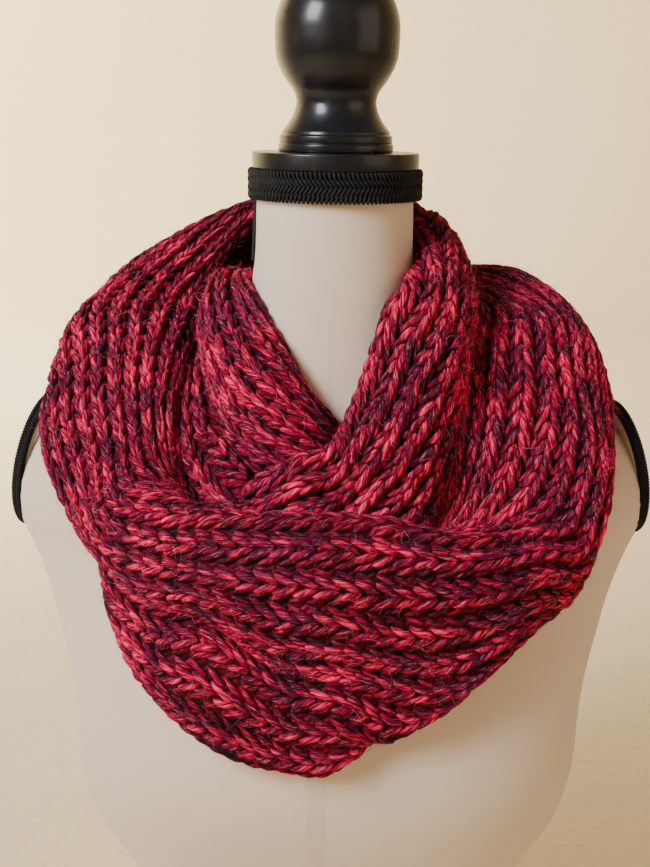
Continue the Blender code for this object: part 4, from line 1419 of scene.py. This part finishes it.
def make_floor(settings):
    """A plain pale floor that curves up all round, far outside every view's camera."""
    profile = [(FLOOR_MIDDLE, 0.0), (settings.floor_radius, 0.0)]
    for step in range(1, FLOOR_BEND_STEPS + 1):
        turn = math.radians(90 * step / FLOOR_BEND_STEPS)
        out, up = FLOOR_BEND * math.sin(turn), FLOOR_BEND * (1 - math.cos(turn))
        profile.append((settings.floor_radius + out, up))
    profile.append((settings.floor_radius + FLOOR_BEND, FLOOR_TOP))
    points = turned_points(profile, FLOOR_SIDES)
    faces = ring_faces(len(profile), FLOOR_SIDES, capped=False)
    smooth_mesh("studio_floor", points, faces, finish("studio_floor"))


def make_camera():
    """The camera at the height and tilt of a close half-length view."""
    data = bpy.data.cameras.new("view")
    data.sensor_width = SENSOR * 1000
    data.lens = VIEW_FOCUS / VIEW_HEIGHT * SENSOR * 1000
    data.clip_start, data.clip_end = VIEW_CLIP
    camera = bpy.data.objects.new("view", data)
    camera.location = Vector(VIEW_PLACE) + NECK_AXIS
    camera.rotation_mode = "QUATERNION"
    tilt = math.radians(VIEW_TILT)
    forward = Vector((0, math.cos(tilt), -math.sin(tilt)))
    roll = Quaternion((0, 0, 1), math.radians(VIEW_ROLL))
    camera.rotation_quaternion = forward.to_track_quat("-Z", "Y") @ roll
    bpy.context.scene.collection.objects.link(camera)
    bpy.context.scene.camera = camera


# ---- settings, operators and panel ----
def colour_property(name, description, value):
    return FloatVectorProperty(
        name=name, description=description, default=value, size=3, min=0, max=1, subtype="COLOR"
    )


def length_property(name, description, value, low, high):
    return FloatProperty(
        name=name, description=description, default=value, min=low, max=high, unit="LENGTH", precision=4
    )


def count_property(name, description, value, low, high):
    return IntProperty(name=name, description=description, default=value, min=low, max=high)


def share_property(name, description, value, low, high):
    return FloatProperty(name=name, description=description, default=value, min=low, max=high)


def power_property(name, description, value):
    return FloatProperty(name=name, description=description, default=value, min=0, unit="POWER")


class KnitSettings(bpy.types.PropertyGroup):
    """Sizes and colours of the knitting."""

    stitch_pitch: length_property("Stitch pitch", "A stitch's length along its rib", 0.0118, 0.006, 0.03)
    yarn_width: length_property("Yarn width", "Thickness of the plied yarn", 0.0043, 0.001, 0.012)
    leg_length: share_property("Leg length", "Length of a stitch's leg in stitch pitches", 1.28, 1, 2.5)
    valley_pitch: length_property("Valley pitch", "Least rib with sunk stitches", 0.0098, 0.006, 0.03)
    leg_rings: count_property("Leg rings", "Sections along a leg", 7, 5, 16)
    leg_sides: count_property("Leg sides", "Sides of a leg's section", 9, 6, 18)
    ply_turns: share_property("Ply turns", "Turns of the plies along a leg", 0.5, 0, 4)
    fibre_length: length_property("Fibre length", "Usual length of a stray hair", 0.009, 0.001, 0.03)
    fibre_width: length_property("Fibre width", "Thickness of a stray hair", 0.00013, 0.00005, 0.001)
    fibres_per_leg: share_property("Fibres per leg", "Stray hairs for each leg of a stitch", 2.3, 0, 3)
    burgundy: colour_property("Burgundy", "Darkest ply", (0.030, 0.0005, 0.008))
    plum: colour_property("Plum", "Dark purple ply", (0.064, 0.001, 0.030))
    deep_red: colour_property("Deep red", "Dark red ply", (0.16, 0.0006, 0.018))
    crimson: colour_property("Crimson", "Main ply", (0.46, 0.0010, 0.045))
    scarlet: colour_property("Scarlet", "Bright ply", (0.85, 0.004, 0.085))
    rose: colour_property("Rose", "Lightest ply", (0.95, 0.025, 0.14))
    magenta: colour_property("Magenta", "Dyed patches", (0.23, 0.002, 0.075))
    pale_fibre: colour_property("Pale fibre", "Pale hairs in the yarn", (0.88, 0.30, 0.36))


class FormSettings(bpy.types.PropertyGroup):
    """Colours and weave of the dress form."""

    jersey_colour: colour_property("Jersey", "Cream jersey", (0.64, 0.52, 0.42))
    jersey_shade: colour_property("Jersey shade", "Handled and aged jersey", (0.63, 0.475, 0.36))
    jersey_wale: length_property("Jersey wale", "Width of a jersey column", 0.0009, 0.0003, 0.003)
    braid_colour: colour_property("Braid", "Black braid", (0.0045, 0.0050, 0.0060))
    wood_colour: colour_property("Wood", "Black stained wood", (0.0050, 0.0056, 0.0075))


class StageSettings(bpy.types.PropertyGroup):
    """Floor and lights."""

    floor_colour: colour_property("Floor", "Pale floor", (0.77, 0.635, 0.405))
    floor_radius: length_property("Floor radius", "Flat part of the floor", 3.4, 1.5, 10)
    key_power: power_property("Key", "Window light in watts", 68)
    fill_power: power_property("Fill", "Fill light in watts", 8)
    wall_power: power_property("Wall", "Light on the wall in watts", 370)
    sky: share_property("Sky", "Strength of the light from all round", 0.20, 0, 10)


def strand_operator(node, label, text):
    """An operator that knits one strand."""

    def execute(self, context):
        knit(STRANDS[node], context.scene.scarf_knit)
        return {"FINISHED"}

    return type(
        f"SCARF_OT_{node}",
        (bpy.types.Operator,),
        {"__doc__": text, "bl_idname": f"scarf.{node}", "bl_label": label, "execute": execute},
    )


class FORM_OT_body(bpy.types.Operator):
    """Cover the form's body and arm ends with jersey"""

    bl_idname = "dress_form.body"
    bl_label = "Jersey body"

    def execute(self, context):
        make_body()
        for side_name, hand in HANDS:
            make_arm_end(side_name, hand)
        return {"FINISHED"}


class FORM_OT_trims(bpy.types.Operator):
    """Sew black braid and tape on the form"""

    bl_idname = "dress_form.trims"
    bl_label = "Braid and tape"

    def execute(self, context):
        make_neck_trim()
        for side_name, hand in HANDS:
            make_arm_trim(side_name, hand)
        return {"FINISHED"}


class FORM_OT_knob(bpy.types.Operator):
    """Turn the wooden cap and knob"""

    bl_idname = "dress_form.knob"
    bl_label = "Turned knob"

    def execute(self, context):
        make_knob()
        return {"FINISHED"}


class STAGE_OT_studio(bpy.types.Operator):
    """Lay the floor and set the lights and the camera"""

    bl_idname = "scarf_stage.studio"
    bl_label = "Studio"

    def execute(self, context):
        settings = context.scene.scarf_stage
        make_floor(settings)
        for name, (place, target, size, power, colour) in LAMPS.items():
            area_light(name, place, target, size, getattr(settings, power), colour)
        world = bpy.data.worlds.new("studio")
        world.use_nodes = True
        sky = world.node_tree.nodes["Background"]
        sky.inputs["Color"].default_value = SKY_COLOUR
        sky.inputs["Strength"].default_value = settings.sky
        context.scene.world = world
        make_camera()
        return {"FINISHED"}


STRAND_OPERATORS = (
    strand_operator("outer_wrap", "Outer loop", "Knit the cowl, both shoulders and the back"),
    strand_operator("over_strand", "Upper turn, right", "Knit the turn over the right of the neck"),
    strand_operator("under_strand", "Upper turn, left", "Knit the turn that passes under on the left"),
    strand_operator("tucked_fold", "Tucked fold", "Knit the fold that is tucked into the opening"),
)


class SCARF_PT_panel(bpy.types.Panel):
    """The scarf, its form and the studio"""

    bl_label = "Infinity scarf"
    bl_space_type = "VIEW_3D"
    bl_region_type = "UI"
    bl_category = "Scarf"

    def draw(self, context):
        for group in (context.scene.scarf_knit, context.scene.dress_form, context.scene.scarf_stage):
            box = self.layout.box()
            for name in group.__annotations__:
                box.prop(group, name)
        for operator in OPERATORS:
            self.layout.operator(operator.bl_idname)


OPERATORS = STRAND_OPERATORS + (FORM_OT_body, FORM_OT_trims, FORM_OT_knob, STAGE_OT_studio)
CLASSES = (KnitSettings, FormSettings, StageSettings) + OPERATORS + (SCARF_PT_panel,)


def register():
    for each in CLASSES:
        bpy.utils.register_class(each)
    bpy.types.Scene.scarf_knit = PointerProperty(type=KnitSettings)
    bpy.types.Scene.dress_form = PointerProperty(type=FormSettings)
    bpy.types.Scene.scarf_stage = PointerProperty(type=StageSettings)


def unregister():
    for name in ("scarf_knit", "dress_form", "scarf_stage"):
        delattr(bpy.types.Scene, name)
    for each in reversed(CLASSES):
        bpy.utils.unregister_class(each)


def main():
    register()
    bpy.ops.dress_form.body()
    bpy.ops.dress_form.trims()
    bpy.ops.dress_form.knob()
    bpy.ops.scarf.outer_wrap()
    bpy.ops.scarf.over_strand()
    bpy.ops.scarf.under_strand()
    bpy.ops.scarf.tucked_fold()
    bpy.ops.scarf_stage.studio()


if __name__ == "__main__":
    main()
